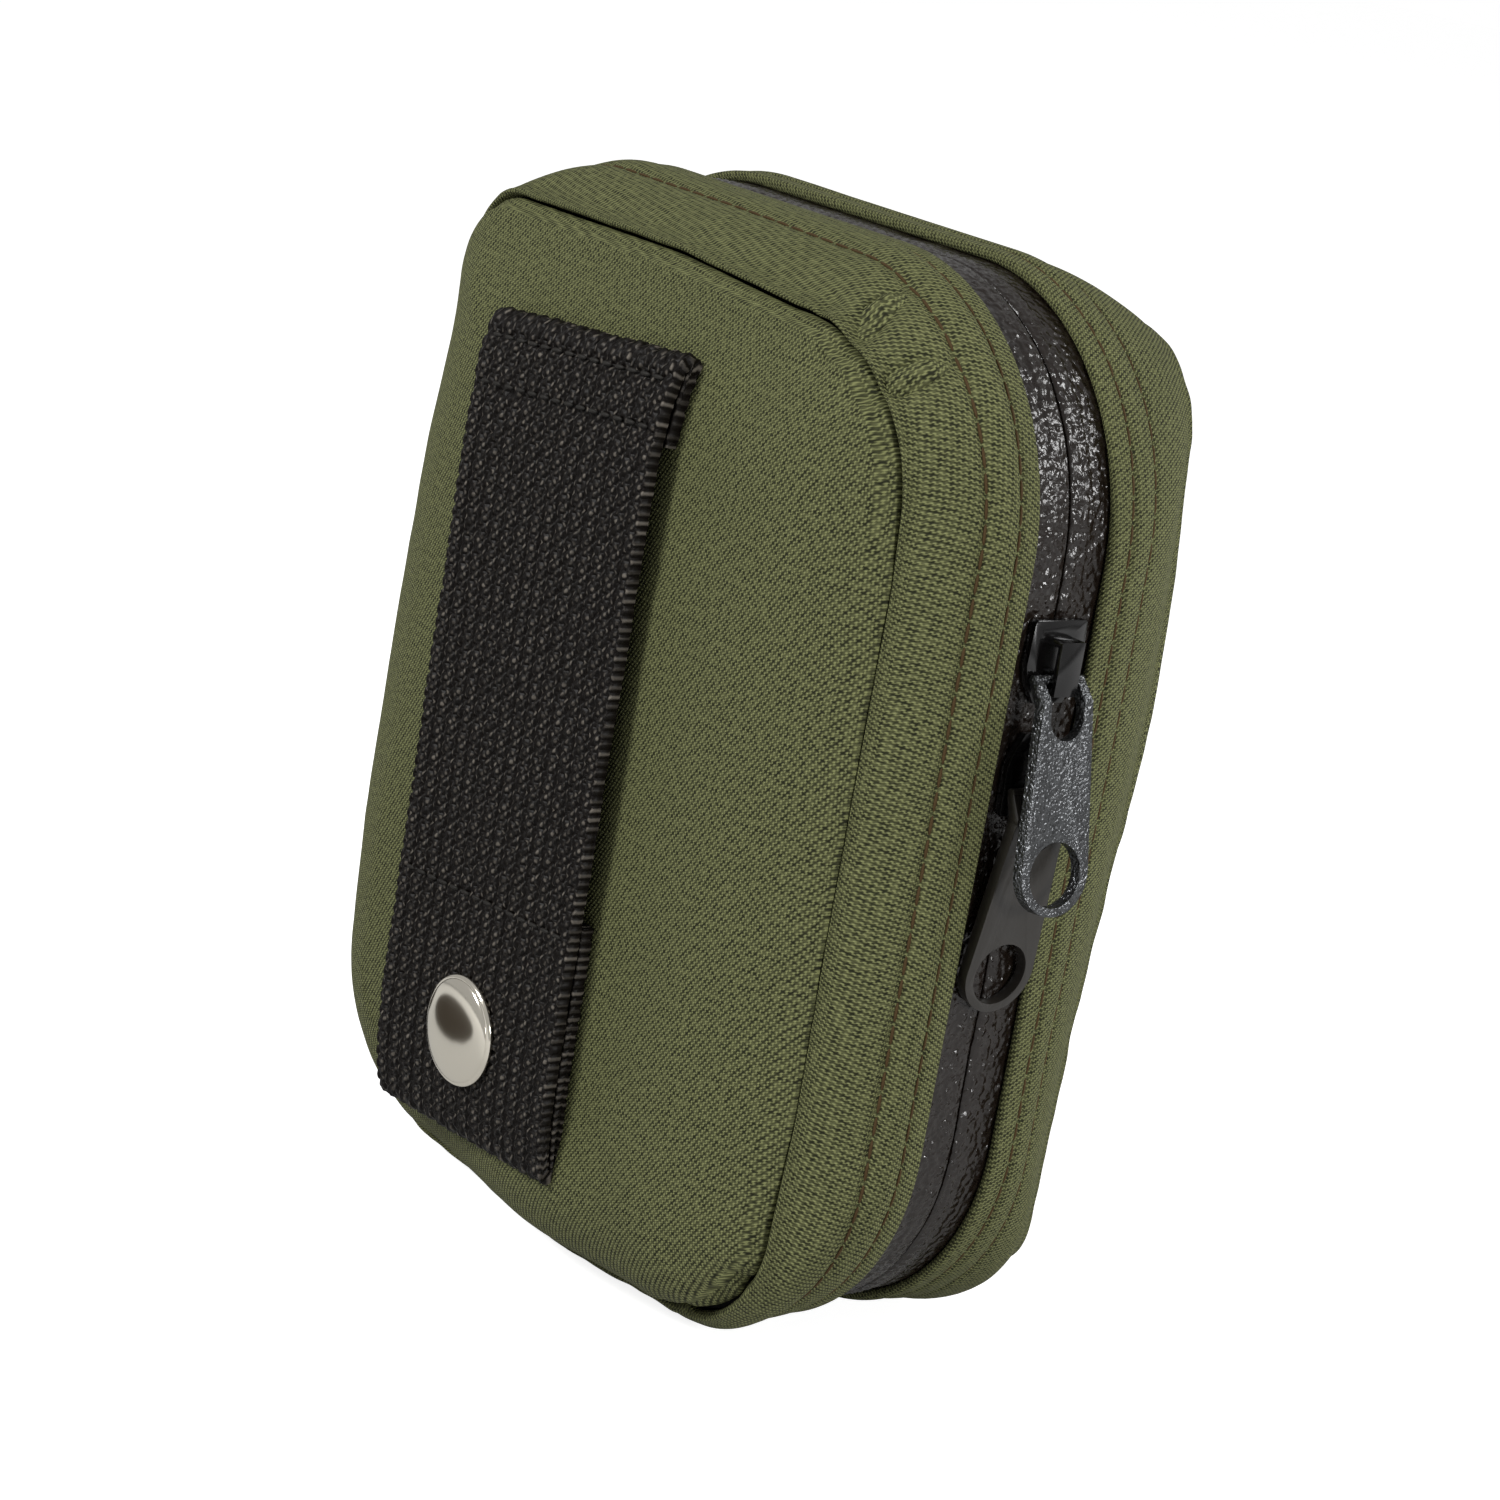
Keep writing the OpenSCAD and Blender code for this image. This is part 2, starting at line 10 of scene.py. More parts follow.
import bpy
import numpy as np
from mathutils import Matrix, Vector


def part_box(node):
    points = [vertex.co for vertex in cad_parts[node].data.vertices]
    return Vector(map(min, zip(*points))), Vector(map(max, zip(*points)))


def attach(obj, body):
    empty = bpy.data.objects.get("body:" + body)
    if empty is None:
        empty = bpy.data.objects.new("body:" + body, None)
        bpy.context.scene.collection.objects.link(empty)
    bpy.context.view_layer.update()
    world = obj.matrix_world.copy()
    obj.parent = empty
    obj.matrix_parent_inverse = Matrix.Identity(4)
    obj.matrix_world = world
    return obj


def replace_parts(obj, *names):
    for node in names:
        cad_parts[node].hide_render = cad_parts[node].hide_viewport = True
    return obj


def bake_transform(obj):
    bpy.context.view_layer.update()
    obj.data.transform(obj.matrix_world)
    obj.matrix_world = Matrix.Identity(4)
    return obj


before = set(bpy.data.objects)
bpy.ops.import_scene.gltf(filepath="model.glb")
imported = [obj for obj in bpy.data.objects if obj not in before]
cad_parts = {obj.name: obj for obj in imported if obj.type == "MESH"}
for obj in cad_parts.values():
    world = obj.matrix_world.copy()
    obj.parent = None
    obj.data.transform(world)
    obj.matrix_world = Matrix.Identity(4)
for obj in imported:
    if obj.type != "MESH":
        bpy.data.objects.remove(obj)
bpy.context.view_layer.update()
hem_lo, hem_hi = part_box("back_gusset_hem")
shift = np.array([(hem_lo.x + hem_hi.x) * 500, hem_lo.y * 1000 - 6, 0])
print("drawing axes start at", shift.round(3), "mm")

# %% [markdown]
# The seams of the case are rounded rectangles whose straight edges the stuffing bows outwards. The same numbers
# as the drawing's are used, so the cloth follows the CAD skin. An outline is left, right, bottom, top, four
# corner radii from the top right anticlockwise, and the bows of the top, left, bottom and right edges.

# %% outlines of the zip and of the two panel seams
ZIP = np.array([-56, 56, 0, 141, 32, 33, 33, 20, 0, 0, 0, 0], float)
BACK = np.array([-47, 52.6, 1.8, 133.6, 13, 20, 18, 26, 0.2, -0.3, 1.6, 1.0], float)
FRONT = np.array([-45.5, 46, 5, 134.6, 15, 14, 12, 13, 0.4, 0.8, 1, 2], float)
BACK_Y, BACK_CROWN, BACK_POWER, BACK_HEM = 20.2, 10.3, 5.5, 10.7
FRONT_Y, FRONT_CROWN, FRONT_POWER, FRONT_HEM = 25.8, 6.0, 4.0, 9.3
ACROSS, UP = 120, 180


def inset(o, d):
    q = o.copy()
    q[:4] += [d, -d, d, -d]
    q[4:8] = np.maximum(o[4:8] - d, 0.5)
    return q


def mix(a, b, share, base):
    q = a + (b - a) * share
    for i in (2, 10):
        q[i] = a[i] + (b[i] - a[i]) * base
    return q


def path(o, across=ACROSS, up=UP):
    """Points of an outline in X and Z, evenly spaced along each side from corner middle to corner middle."""
    centres = [(o[1] - o[4], o[3] - o[4]), (o[0] + o[5], o[3] - o[5]),
               (o[0] + o[6], o[2] + o[6]), (o[1] - o[7], o[2] + o[7])]
    spots = []
    for i in range(4):
        def arc(k, a, b):
            t = np.radians(90 * k + np.linspace(a, b, 16))
            return np.c_[centres[k % 4][0] + o[4 + k % 4] * np.cos(t), centres[k % 4][1] + o[4 + k % 4] * np.sin(t)]
        first, last = arc(i, 45, 90), arc(i + 1, 0, 45)
        t = np.linspace(0, 1, 40)[1:-1, None]
        out = math.radians(90 * (i + 1))
        edge = first[-1] * (1 - t) + last[0] * t
        edge = edge + o[8 + i] * np.sin(np.pi * t) ** 2 * [math.cos(out), math.sin(out)]
        line = np.vstack([first, edge, last])
        far = np.r_[0, np.cumsum(np.hypot(*np.diff(line, axis=0).T))]
        n = up if i % 2 else across
        s = np.linspace(0, far[-1], n + 1)[:-1]
        spots.append(np.c_[np.interp(s, far, line[:, 0]), np.interp(s, far, line[:, 1])])
    return np.vstack(spots)


def ring(o, y):
    p = path(o)
    return np.c_[p[:, 0], np.full(len(p), y), p[:, 1]]


def crown_at(d, crown, half, power):
    return crown * (1 - (1 - np.clip(d, 0, half) / half) ** power)


zip_path = path(ZIP)
along = np.r_[0, np.cumsum(np.hypot(*np.diff(np.vstack([zip_path, zip_path[:1]]), axis=0).T))]
print("way round the zip", round(along[-1], 1), "mm")

# %% [markdown]
# Small tools that every piece uses: smooth random relief with a fixed seed, meshes from grids of points with
# a cloth map in millimetres, and shells given thickness.

# %% relief and mesh tools
TABLE = np.random.default_rng(7).uniform(-1, 1, 65536)


def noise(p, size, seed=0):
    """Smooth random values from -1 to 1 at points p, with lumps of about that size."""
    q = np.asarray(p, float) / size
    cell = np.floor(q).astype(np.int64)
    f = q - cell
    f = f * f * (3 - 2 * f)
    total = np.zeros(q.shape[:-1])
    for corner in range(8):
        c = np.array([corner & 1, corner >> 1 & 1, corner >> 2 & 1])
        at = cell + c
        key = (at[..., 0] * 73856093 ^ at[..., 1] * 19349663 ^ at[..., 2] * 83492791 ^ seed * 2654435761) & 65535
        total += TABLE[key] * np.prod(np.where(c, f, 1 - f), axis=-1)
    return total


def normals(p, wrap):
    """Normals of a grid of points; wrap says if its columns close into a ring."""
    if wrap:
        dv = np.roll(p, -1, 1) - np.roll(p, 1, 1)
    else:
        dv = np.gradient(p, axis=1)
    n = np.cross(dv, np.gradient(p, axis=0))
    return n / np.maximum(np.linalg.norm(n, axis=-1, keepdims=True), 1e-9)


def mesh(name, points, faces, maps=None, sharp=None):
    """Object from points in the drawing's millimetres; maps is one cloth position per face corner."""
    m = bpy.data.meshes.new(name)
    m.from_pydata(((np.asarray(points, float) + shift) / 1000).tolist(), [], [list(map(int, f)) for f in faces])
    if maps is not None:
        m.uv_layers.new(name="cloth").data.foreach_set("uv", np.asarray(maps, float).ravel())
    m.polygons.foreach_set("use_smooth", [True] * len(m.polygons))
    o = bpy.data.objects.new(name, m)
    bpy.context.collection.objects.link(o)
    bm_fix(o, sharp)
    return o


def bm_fix(o, sharp=None):
    import bmesh
    b = bmesh.new()
    b.from_mesh(o.data)
    bmesh.ops.remove_doubles(b, verts=b.verts, dist=1e-7)
    bmesh.ops.dissolve_degenerate(b, dist=1e-8, edges=b.edges)
    bmesh.ops.recalc_face_normals(b, faces=b.faces)
    if sharp:
        for e in b.edges:
            if len(e.link_faces) == 2 and e.calc_face_angle(0) > math.radians(sharp):
                e.smooth = False
    b.to_mesh(o.data)
    b.free()


def grid(name, p, u, v, wrap=False, loop=False, caps=False, sharp=None):
    """Surface through a grid of points with cloth positions u, v, which have a further column where it wraps."""
    rows, cols = p.shape[:2]
    i, j = np.meshgrid(np.arange(rows - (0 if loop else 1)), np.arange(cols - (0 if wrap else 1)), indexing="ij")
    i, j = i.ravel(), j.ravel()
    ni, nj = (i + 1) % rows, (j + 1) % cols
    faces = np.c_[i * cols + j, i * cols + nj, ni * cols + nj, ni * cols + j]
    maps = np.stack([np.c_[u[a, b], v[a, b]] for a, b in ((i, j), (i, j + 1), (ni, j + 1), (ni, j))], 1)
    faces, maps = [list(f) for f in faces], maps.reshape(-1, 2)
    if caps:
        for c in (0, cols - 1):
            faces.append([r * cols + c for r in range(rows)])
            maps = np.vstack([maps, np.c_[u[:, c], v[:, c]]])
    return mesh(name, p.reshape(-1, 3), faces, maps, sharp)


def trough(p, n, marks):
    """Pushes points in along n at marks: centre, direction, length, width and depth of each."""
    for centre, way, length, width, depth in marks:
        way = np.array(way, float) / np.linalg.norm(way)
        q = p - np.array(centre, float)
        a = q @ way
        b = np.linalg.norm(q - a[..., None] * way, axis=-1)
        p = p - n * (depth * np.exp(-(a / length) ** 2 - (b / width) ** 2))[..., None]
    return p


def finish_piece(o, body, nodes=(), material=None):
    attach(o, body)
    if nodes:
        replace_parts(o, *nodes)
    if material:
        o.data.materials.clear()
        o.data.materials.append(material)
    return o


# %% [markdown]
# ## Finishes
# The shell is a plain-woven nylon pack cloth in olive, proofed on its back: about 17 yarns a centimetre, each
# crown catching the light and each gap nearly black. The black of the gaps is painted shade: each weave's dark
# colour is mixed in where its mask is low. It could be an image, but two crossed waves of the cloth's own map
# give the same weave at any distance, so the finish stays procedural.

# %% node group helpers
def srgb(r, g, b):
    return tuple((c / 255 / 12.92 if c < 10.3 else ((c / 255 + 0.055) / 1.055) ** 2.4) for c in (r, g, b)) + (1,)


class Sheet:
    """Writes a node tree in a few words."""

    def __init__(self, tree):
        self.tree = tree

    def node(self, kind, **values):
        n = self.tree.nodes.new(kind)
        for key, value in values.items():
            if hasattr(n, key):
                setattr(n, key, value)
        return n

    def put(self, socket, value):
        if isinstance(value, bpy.types.NodeSocket):
            self.tree.links.new(value, socket)
        elif value is not None:
            socket.default_value = value

    def math(self, op, a, b=None, c=None, clamp=False):
        n = self.node("ShaderNodeMath", operation=op, use_clamp=clamp)
        for socket, value in zip(n.inputs, (a, b, c)):
            self.put(socket, value)
        return n.outputs[0]

    def ramp(self, value, lo, hi, out_lo=0.0, out_hi=1.0):
        n = self.node("ShaderNodeMapRange", interpolation_type="SMOOTHSTEP")
        for socket, x in zip(n.inputs, (value, lo, hi, out_lo, out_hi)):
            self.put(socket, x)
        return n.outputs[0]

    def blend(self, share, a, b):
        n = self.node("ShaderNodeMix", data_type="RGBA")
        for socket, x in ((n.inputs[0], share), (n.inputs[6], a), (n.inputs[7], b)):
            self.put(socket, x)
        return n.outputs[2]

    def noise(self, vector, scale, detail=2.0):
        n = self.node("ShaderNodeTexNoise")
        for socket, x in ((n.inputs["Vector"], vector), (n.inputs["Scale"], scale), (n.inputs["Detail"], detail)):
            self.put(socket, x)
        return n.outputs["Fac"]

    def cells(self, vector, scale, feature="F1"):
        n = self.node("ShaderNodeTexVoronoi", feature=feature)
        for socket, x in ((n.inputs["Vector"], vector), (n.inputs["Scale"], scale)):
            self.put(socket, x)
        return n.outputs["Distance"]

    def scaled(self, vector, by):
        n = self.node("ShaderNodeVectorMath", operation="SCALE")
        self.put(n.inputs[0], vector)
        self.put(n.inputs["Scale"], by)
        return n.outputs[0]

    def split(self, vector):
        n = self.node("ShaderNodeSeparateXYZ")
        self.put(n.inputs[0], vector)
        return n.outputs

    def join(self, x, y):
        n = self.node("ShaderNodeCombineXYZ")
        self.put(n.inputs[0], x)
        self.put(n.inputs[1], y)
        return n.outputs[0]


def group(name, inputs, outputs, build):
    tree = bpy.data.node_groups.new(name, "ShaderNodeTree")
    for key, kind, value in inputs:
        s = tree.interface.new_socket(key, in_out="INPUT", socket_type=kind)
        if value is not None:
            s.default_value = value
    for key in outputs:
        tree.interface.new_socket(key, in_out="OUTPUT", socket_type="NodeSocketFloat")
    w = Sheet(tree)
    given, gone = w.node("NodeGroupInput"), w.node("NodeGroupOutput")
    for key, socket in build(w, {s.name: s for s in given.outputs if s.name}).items():
        w.put(gone.inputs[key], socket)
    print("effect", name, "made with", len(tree.nodes), "nodes")
    return tree


# %% [markdown]
# Plain weave: a warp yarn is on top at every second crossing, and its height falls off across and along it. A
# slight drift of the map keeps the rows from looking drawn with a ruler, and each yarn differs a little.

# %% effect: plain weave
def build_weave(w, given):
    x, y, _ = w.split(given["Cloth"])
    x = w.math("ADD", x, w.math("MULTIPLY", w.noise(w.scaled(given["Cloth"], 0.09), 1.0), 1.1))
    y = w.math("ADD", y, w.math("MULTIPLY", w.noise(w.scaled(given["Cloth"], 0.07), 1.0), 1.1))
    x, y = w.math("DIVIDE", x, given["Pitch"]), w.math("DIVIDE", y, given["Pitch"])
    over = w.math("MULTIPLY_ADD", x, 0.85, w.math("MULTIPLY", y, 0.53))
    rib = w.math("MULTIPLY_ADD", w.math("COSINE", w.math("MULTIPLY", over, 2 * math.pi)), 0.5, 0.5)
    row = w.math("FLOOR", over)
    step = w.math("MULTIPLY_ADD", y, 0.85, w.math("MULTIPLY", x, -0.53))
    step = w.math("MULTIPLY_ADD", row, 0.5, step)
    bead = w.math("MULTIPLY_ADD", w.math("COSINE", w.math("MULTIPLY", step, 2 * math.pi)), 0.5, 0.5)
    height = w.math("MULTIPLY", w.math("POWER", rib, 0.7), w.math("MULTIPLY_ADD", bead, 0.85, 0.15))
    yarn = w.noise(w.scaled(given["Cloth"], 0.9), 1.5, 2.0)
    # The second output is the mask under which the materials paint shade into the gaps between yarns.
    return {"Height": height, "Crown": w.ramp(height, 0.05, 0.8), "Yarn": yarn,
            "Broad": w.noise(w.scaled(given["Cloth"], 0.02), 2.0, 3.0)}


weave = group("plain_weave", [("Cloth", "NodeSocketVector", None), ("Pitch", "NodeSocketFloat", 0.6)],
              ["Height", "Crown", "Yarn", "Broad"], build_weave)

# %% [markdown]
# Pebbled film: the waterproof tape of the zip is a thin glossy film pressed with a fine grain.

# %% effect: pebbles, and hammered enamel
def build_pebble(w, given):
    cell = w.cells(w.scaled(given["Cloth"], given["Fineness"]), 1.0, "SMOOTH_F1")
    soft = w.noise(w.scaled(given["Cloth"], given["Fineness"]), 0.5, 3.0)
    return {"Height": w.math("SUBTRACT", soft, cell), "Cell": cell, "Soft": soft}


pebble = group("pebbles", [("Cloth", "NodeSocketVector", None), ("Fineness", "NodeSocketFloat", 1.4)],
               ["Height", "Cell", "Soft"], build_pebble)


def build_crumple(w, given):
    a = w.noise(w.scaled(given["Cloth"], given["Fineness"]), 1.0, 4.0)
    ridge = w.math("ABSOLUTE", w.math("SUBTRACT", a, 0.5))
    return {"Height": w.math("SUBTRACT", 1.0, w.math("MULTIPLY", ridge, 4.0)), "Broad": a}


crumple = group("crumple", [("Cloth", "NodeSocketVector", None), ("Fineness", "NodeSocketFloat", 0.1)],
                ["Height", "Broad"], build_crumple)


# %% [markdown]
# A material reads the cloth map where a piece has one, or the piece's own coordinates in millimetres.

# %% effect: grains of webbing, with painted glints
def build_fibres_painted_glints(w, given):
    x, y, _ = w.split(given["Cloth"])
    col = w.math("MULTIPLY", x, given["Fineness"])
    along = w.math("MULTIPLY", y, w.math("MULTIPLY", given["Fineness"], 0.7))
    row = w.math("MULTIPLY_ADD", w.math("FLOOR", col), 0.5, along)
    bead = w.math("MULTIPLY", w.math("SINE", w.math("MULTIPLY", w.math("FRACT", col), math.pi)),
                  w.math("SINE", w.math("MULTIPLY", w.math("FRACT", row), math.pi)))
    patchy = w.noise(w.join(col, w.math("MULTIPLY", y, 0.9)), 0.8, 3.0)
    # Painted highlight: the yarn beads are lightened where a patchy noise is high, standing in for glints of light on
    # the yarns.
    lit = w.math("MULTIPLY", w.ramp(bead, 0.55, 0.98), w.ramp(patchy, 0.35, 0.7))
    return {"Height": w.math("MULTIPLY_ADD", patchy, 0.4, bead), "Glint": lit}


fibres_painted_glints = group("webbing_fibres", [("Cloth", "NodeSocketVector", None), ("Fineness", "NodeSocketFloat", 1.5)],
               ["Height", "Glint"], build_fibres_painted_glints)

# %% [markdown]
# One function makes every material: a colour or a pair of colours, a finish, and an effect for its relief.

# %% material maker
def material(name, colour=(0.5, 0.5, 0.5, 1), rough=0.5, metal=0.0, effect=None, settings=(), mapped=True,
             dark=None, mask=None, height="Height", bump=0.0, distance=0.0002, sheen=0.0, coat=0.0,
             rough_by=None, broad=None, specular=None):
    m = bpy.data.materials.new(name)
    m.use_nodes = True
    w = Sheet(m.node_tree)
    shader = m.node_tree.nodes["Principled BSDF"]
    w.put(shader.inputs["Base Color"], colour)
    w.put(shader.inputs["Roughness"], rough)
    w.put(shader.inputs["Metallic"], metal)
    w.put(shader.inputs["Sheen Weight"], sheen)
    w.put(shader.inputs["Coat Weight"], coat)
    if specular is None:
        specular = 0.2 if rough > 0.45 and not metal else 0.5
    w.put(shader.inputs["Specular IOR Level"], specular)
    if effect is None:
        return m
    if mapped:
        place = w.node("ShaderNodeUVMap", uv_map="cloth").outputs[0]
    else:
        place = w.scaled(w.node("ShaderNodeTexCoord").outputs["Object"], 1000.0)
    g = w.node("ShaderNodeGroup")
    g.node_tree = effect
    w.put(g.inputs["Cloth"], place)
    for key, value in settings:
        g.inputs[key].default_value = value
    shade = colour
    # Where a mask is given, its low values take the dark colour: painted shade in the gaps of the weaves, and the
    # webbing's own colour between its painted glints.
    if dark is not None:
        shade = w.blend(g.outputs[mask], dark, colour)
    if broad is not None:
        part, tint, amount = broad
        shade = w.blend(w.ramp(g.outputs[part], 0.35, 0.7, 0.0, amount), shade, tint)
    w.put(shader.inputs["Base Color"], shade)
    if rough_by is not None:
        part, lo, hi = rough_by
        w.put(shader.inputs["Roughness"], w.ramp(g.outputs[part], 0.2, 0.8, lo, hi))
    if bump:
        b = w.node("ShaderNodeBump")
        b.inputs["Strength"].default_value = bump
        b.inputs["Distance"].default_value = distance
        w.put(b.inputs["Height"], g.outputs[height])
        w.put(shader.inputs["Normal"], b.outputs[0])
    return m


# %% materials
# Painted shade: the dark colour of each weave is shade painted into the gaps between yarns.
olive = material("olive_cloth", srgb(122, 125, 82), 0.75, effect=weave, settings=[("Pitch", 0.56)],
                 dark=srgb(26, 28, 10), mask="Crown", bump=1.0, distance=0.0002,
                 broad=("Yarn", srgb(134, 137, 92), 0.3))
thread = material("brown_thread", srgb(66, 50, 27), 0.75, effect=pebble, settings=[("Fineness", 6.0)],
                  mapped=False, bump=0.4, distance=0.00008)
# Painted shade in the gaps between yarns of the lining and of the black cloth too.
lining = material("grey_lining", srgb(92, 95, 92), 0.6, effect=weave, settings=[("Pitch", 0.45)],
                  dark=srgb(62, 65, 63), mask="Crown", bump=0.5, distance=0.0001)
black_cloth = material("black_cloth", srgb(38, 37, 36), 0.7, effect=weave, settings=[("Pitch", 0.7)],
                       dark=srgb(16, 16, 16), mask="Crown", bump=0.6, distance=0.0002)
tape = material("zip_tape", srgb(24, 18, 14), 0.25, effect=pebble, settings=[("Fineness", 1.25)],
                bump=1.0, distance=0.00035, rough_by=("Soft", 0.14, 0.34), specular=0.45)
coil = material("zip_coil", srgb(28, 26, 24), 0.35)
# The webbing's own colour is the dark one; the lighter colour is a painted glint on the yarn beads.
webbing = material("webbing", srgb(104, 98, 90), 0.5, effect=fibres_painted_glints, settings=[("Fineness", 1.15)],
                   dark=srgb(11, 7, 5), mask="Glint", bump=1.0, distance=0.0003, specular=0.15)
enamel = material("hammered_enamel", srgb(106, 108, 110), 0.28, metal=0.9, effect=pebble, mapped=False,
                  settings=[("Fineness", 2.6)], dark=srgb(40, 40, 41), mask="Soft", bump=0.9, distance=0.0003)
black_enamel = material("black_enamel", srgb(9, 8, 8), 0.16, effect=pebble, mapped=False,
                        settings=[("Fineness", 1.2)], bump=0.1, distance=0.00005)
smooth_enamel = material("smooth_enamel", srgb(34, 31, 27), 0.36, effect=pebble, mapped=False,
                         settings=[("Fineness", 1.5)], bump=0.12, distance=0.00006)
nickel = material("nickel", srgb(226, 220, 206), 0.13, metal=1.0, effect=pebble, settings=[("Fineness", 0.8)],
                  mapped=False, bump=0.04, distance=0.0001)
steel = material("steel", srgb(188, 190, 192), 0.28, metal=1.0, effect=pebble, settings=[("Fineness", 3.0)],
                 mapped=False, bump=0.12, distance=0.00005)
# Painted shade in the gaps between yarns of the gauze.
gauze = material("gauze", srgb(232, 230, 222), 0.9, effect=weave, settings=[("Pitch", 1.1)],
                 dark=srgb(186, 184, 174), mask="Crown", bump=1.0, distance=0.0004, sheen=0.1)
paper = material("paper_packet", srgb(236, 238, 240), 0.5, effect=crumple, settings=[("Fineness", 0.12)],
                 mapped=False, bump=0.5, distance=0.0008)
green = material("green_packet", srgb(44, 124, 84), 0.35, effect=crumple, settings=[("Fineness", 0.14)],
                 mapped=False, bump=0.5, distance=0.0008)
foil = material("gold_foil", srgb(214, 172, 88), 0.24, metal=0.9, effect=crumple, settings=[("Fineness", 0.16)],
                mapped=False, bump=0.9, distance=0.0015)
net = material("black_net", srgb(40, 40, 40), 0.6)
# Painted shade in the gaps between yarns of the patch.
patch = material("patch", srgb(238, 238, 234), 0.7, effect=weave, settings=[("Pitch", 0.5)],
                 dark=srgb(205, 205, 200), mask="Crown", bump=0.9, distance=0.0002)
print(len(bpy.data.materials), "materials")

# %% [markdown]
# ## The shell
# Each half is a panel and a gusset sewn right sides together and turned, so the seam is a narrow valley and
# the cloth gathers where it turns the corners. The gusset's free edge is folded in and held by two rows of
# brown stitching, about 3 and 7.5 mm from the fold. The valley, the pull of the stitches and the puckers are
# shaped into the mesh, since they show at arm's length.

# %% one half of the shell
SHELL_T = 1.2


# insets and heights across the seam, where it gapes and where it is shut
LIP_OPEN = [(0.0, -0.5), (0.08, 0.0), (0.4, 0.2), (0.85, -0.1), (1.1, -0.9)]
LIP_SHUT = [(0.0, -0.9), (0.05, -0.6), (0.2, -0.45), (0.6, -0.7), (1.1, -1.2)]
RIM_OPEN = [(1.55, -1.3), (1.4, -0.75), (1.38, -0.25), (1.5, 0.2), (1.75, 0.65), (2.2, 1.1)]
RIM_SHUT = [(1.35, -1.15), (0.7, -0.8), (0.38, -0.4), (0.36, 0.0), (0.6, 0.45), (1.2, 0.95)]


def lift_at(p, sign):
    """How much deeper a seam lies: the back's along its top, the front's at the middle of the zip's side."""
    x, z = p[..., 0], p[..., 2]
    if sign > 0:
        return 3.2 * np.clip((z - 112) / 20, 0, 1) ** 1.5
    return 2.4 * np.exp(-((z - 92) / 30) ** 2) * np.clip((-x - 22) / 20, 0, 1)


def rise_at(p, sign):
    """How much the top seam climbs towards the spine."""
    if sign < 0:
        return 0 * p[..., 2]
    return 1.4 * np.clip((p[..., 0] + 24) / 24, 0, 1) * np.clip((p[..., 2] - 108) / 24, 0, 1) ** 1.5


def lean_at(p, sign):
    """How far the spine's side of the back panel leans in towards its top."""
    x, z = p[..., 0], p[..., 2]
    return 5.4 * np.clip(x / 50, 0, 1) * np.clip((z - 92) / 42, 0, 1) ** 1.5 if sign > 0 else 0 * x


def valley_at(p, sign):
    """Share of the seam's valley: deep over the top and in the corners, nearly closed down the zip's side."""
    if sign < 0:
        return 0.5 + 0 * p[..., 2]
    side = np.clip((-p[..., 0] - 30) / 14, 0, 1)
    middle = np.clip((p[..., 2] - 20) / 14, 0, 1) * np.clip((116 - p[..., 2]) / 12, 0, 1)
    return 1.0 - 0.95 * side * middle


def bulge(p, sign):
    """How much further the stuffing pushes a panel out in its lower middle and along the spine's side."""
    x, z = p[..., 0], p[..., 2]
    if sign > 0:
        low = 3.2 * np.exp(-((z - 9) / 10) ** 2) * np.exp(-((x + 12) / 22) ** 2)
        return low + 1.0 * np.exp(-((z - 42) / 26) ** 2) * np.clip((x - 25) / 12, 0, 1) ** 2
    return 1.6 * np.exp(-((z - 90) / 26) ** 2) * np.clip((-x - 24) / 16, 0, 1)


def cloth_relief(p, edge):
    """Slack in the cloth: broad hollows, and gathers that fade away from a seam."""
    broad = 0.22 * noise(p, 22, 1) + 0.1 * noise(p, 9, 2)
    gathers = (0.22 * noise(p, 5.5, 3) + 0.1 * noise(p, 2.6, 4)) * np.exp(-edge / 5.0)
    return broad * np.clip(edge / 6, 0.2, 1) + gathers


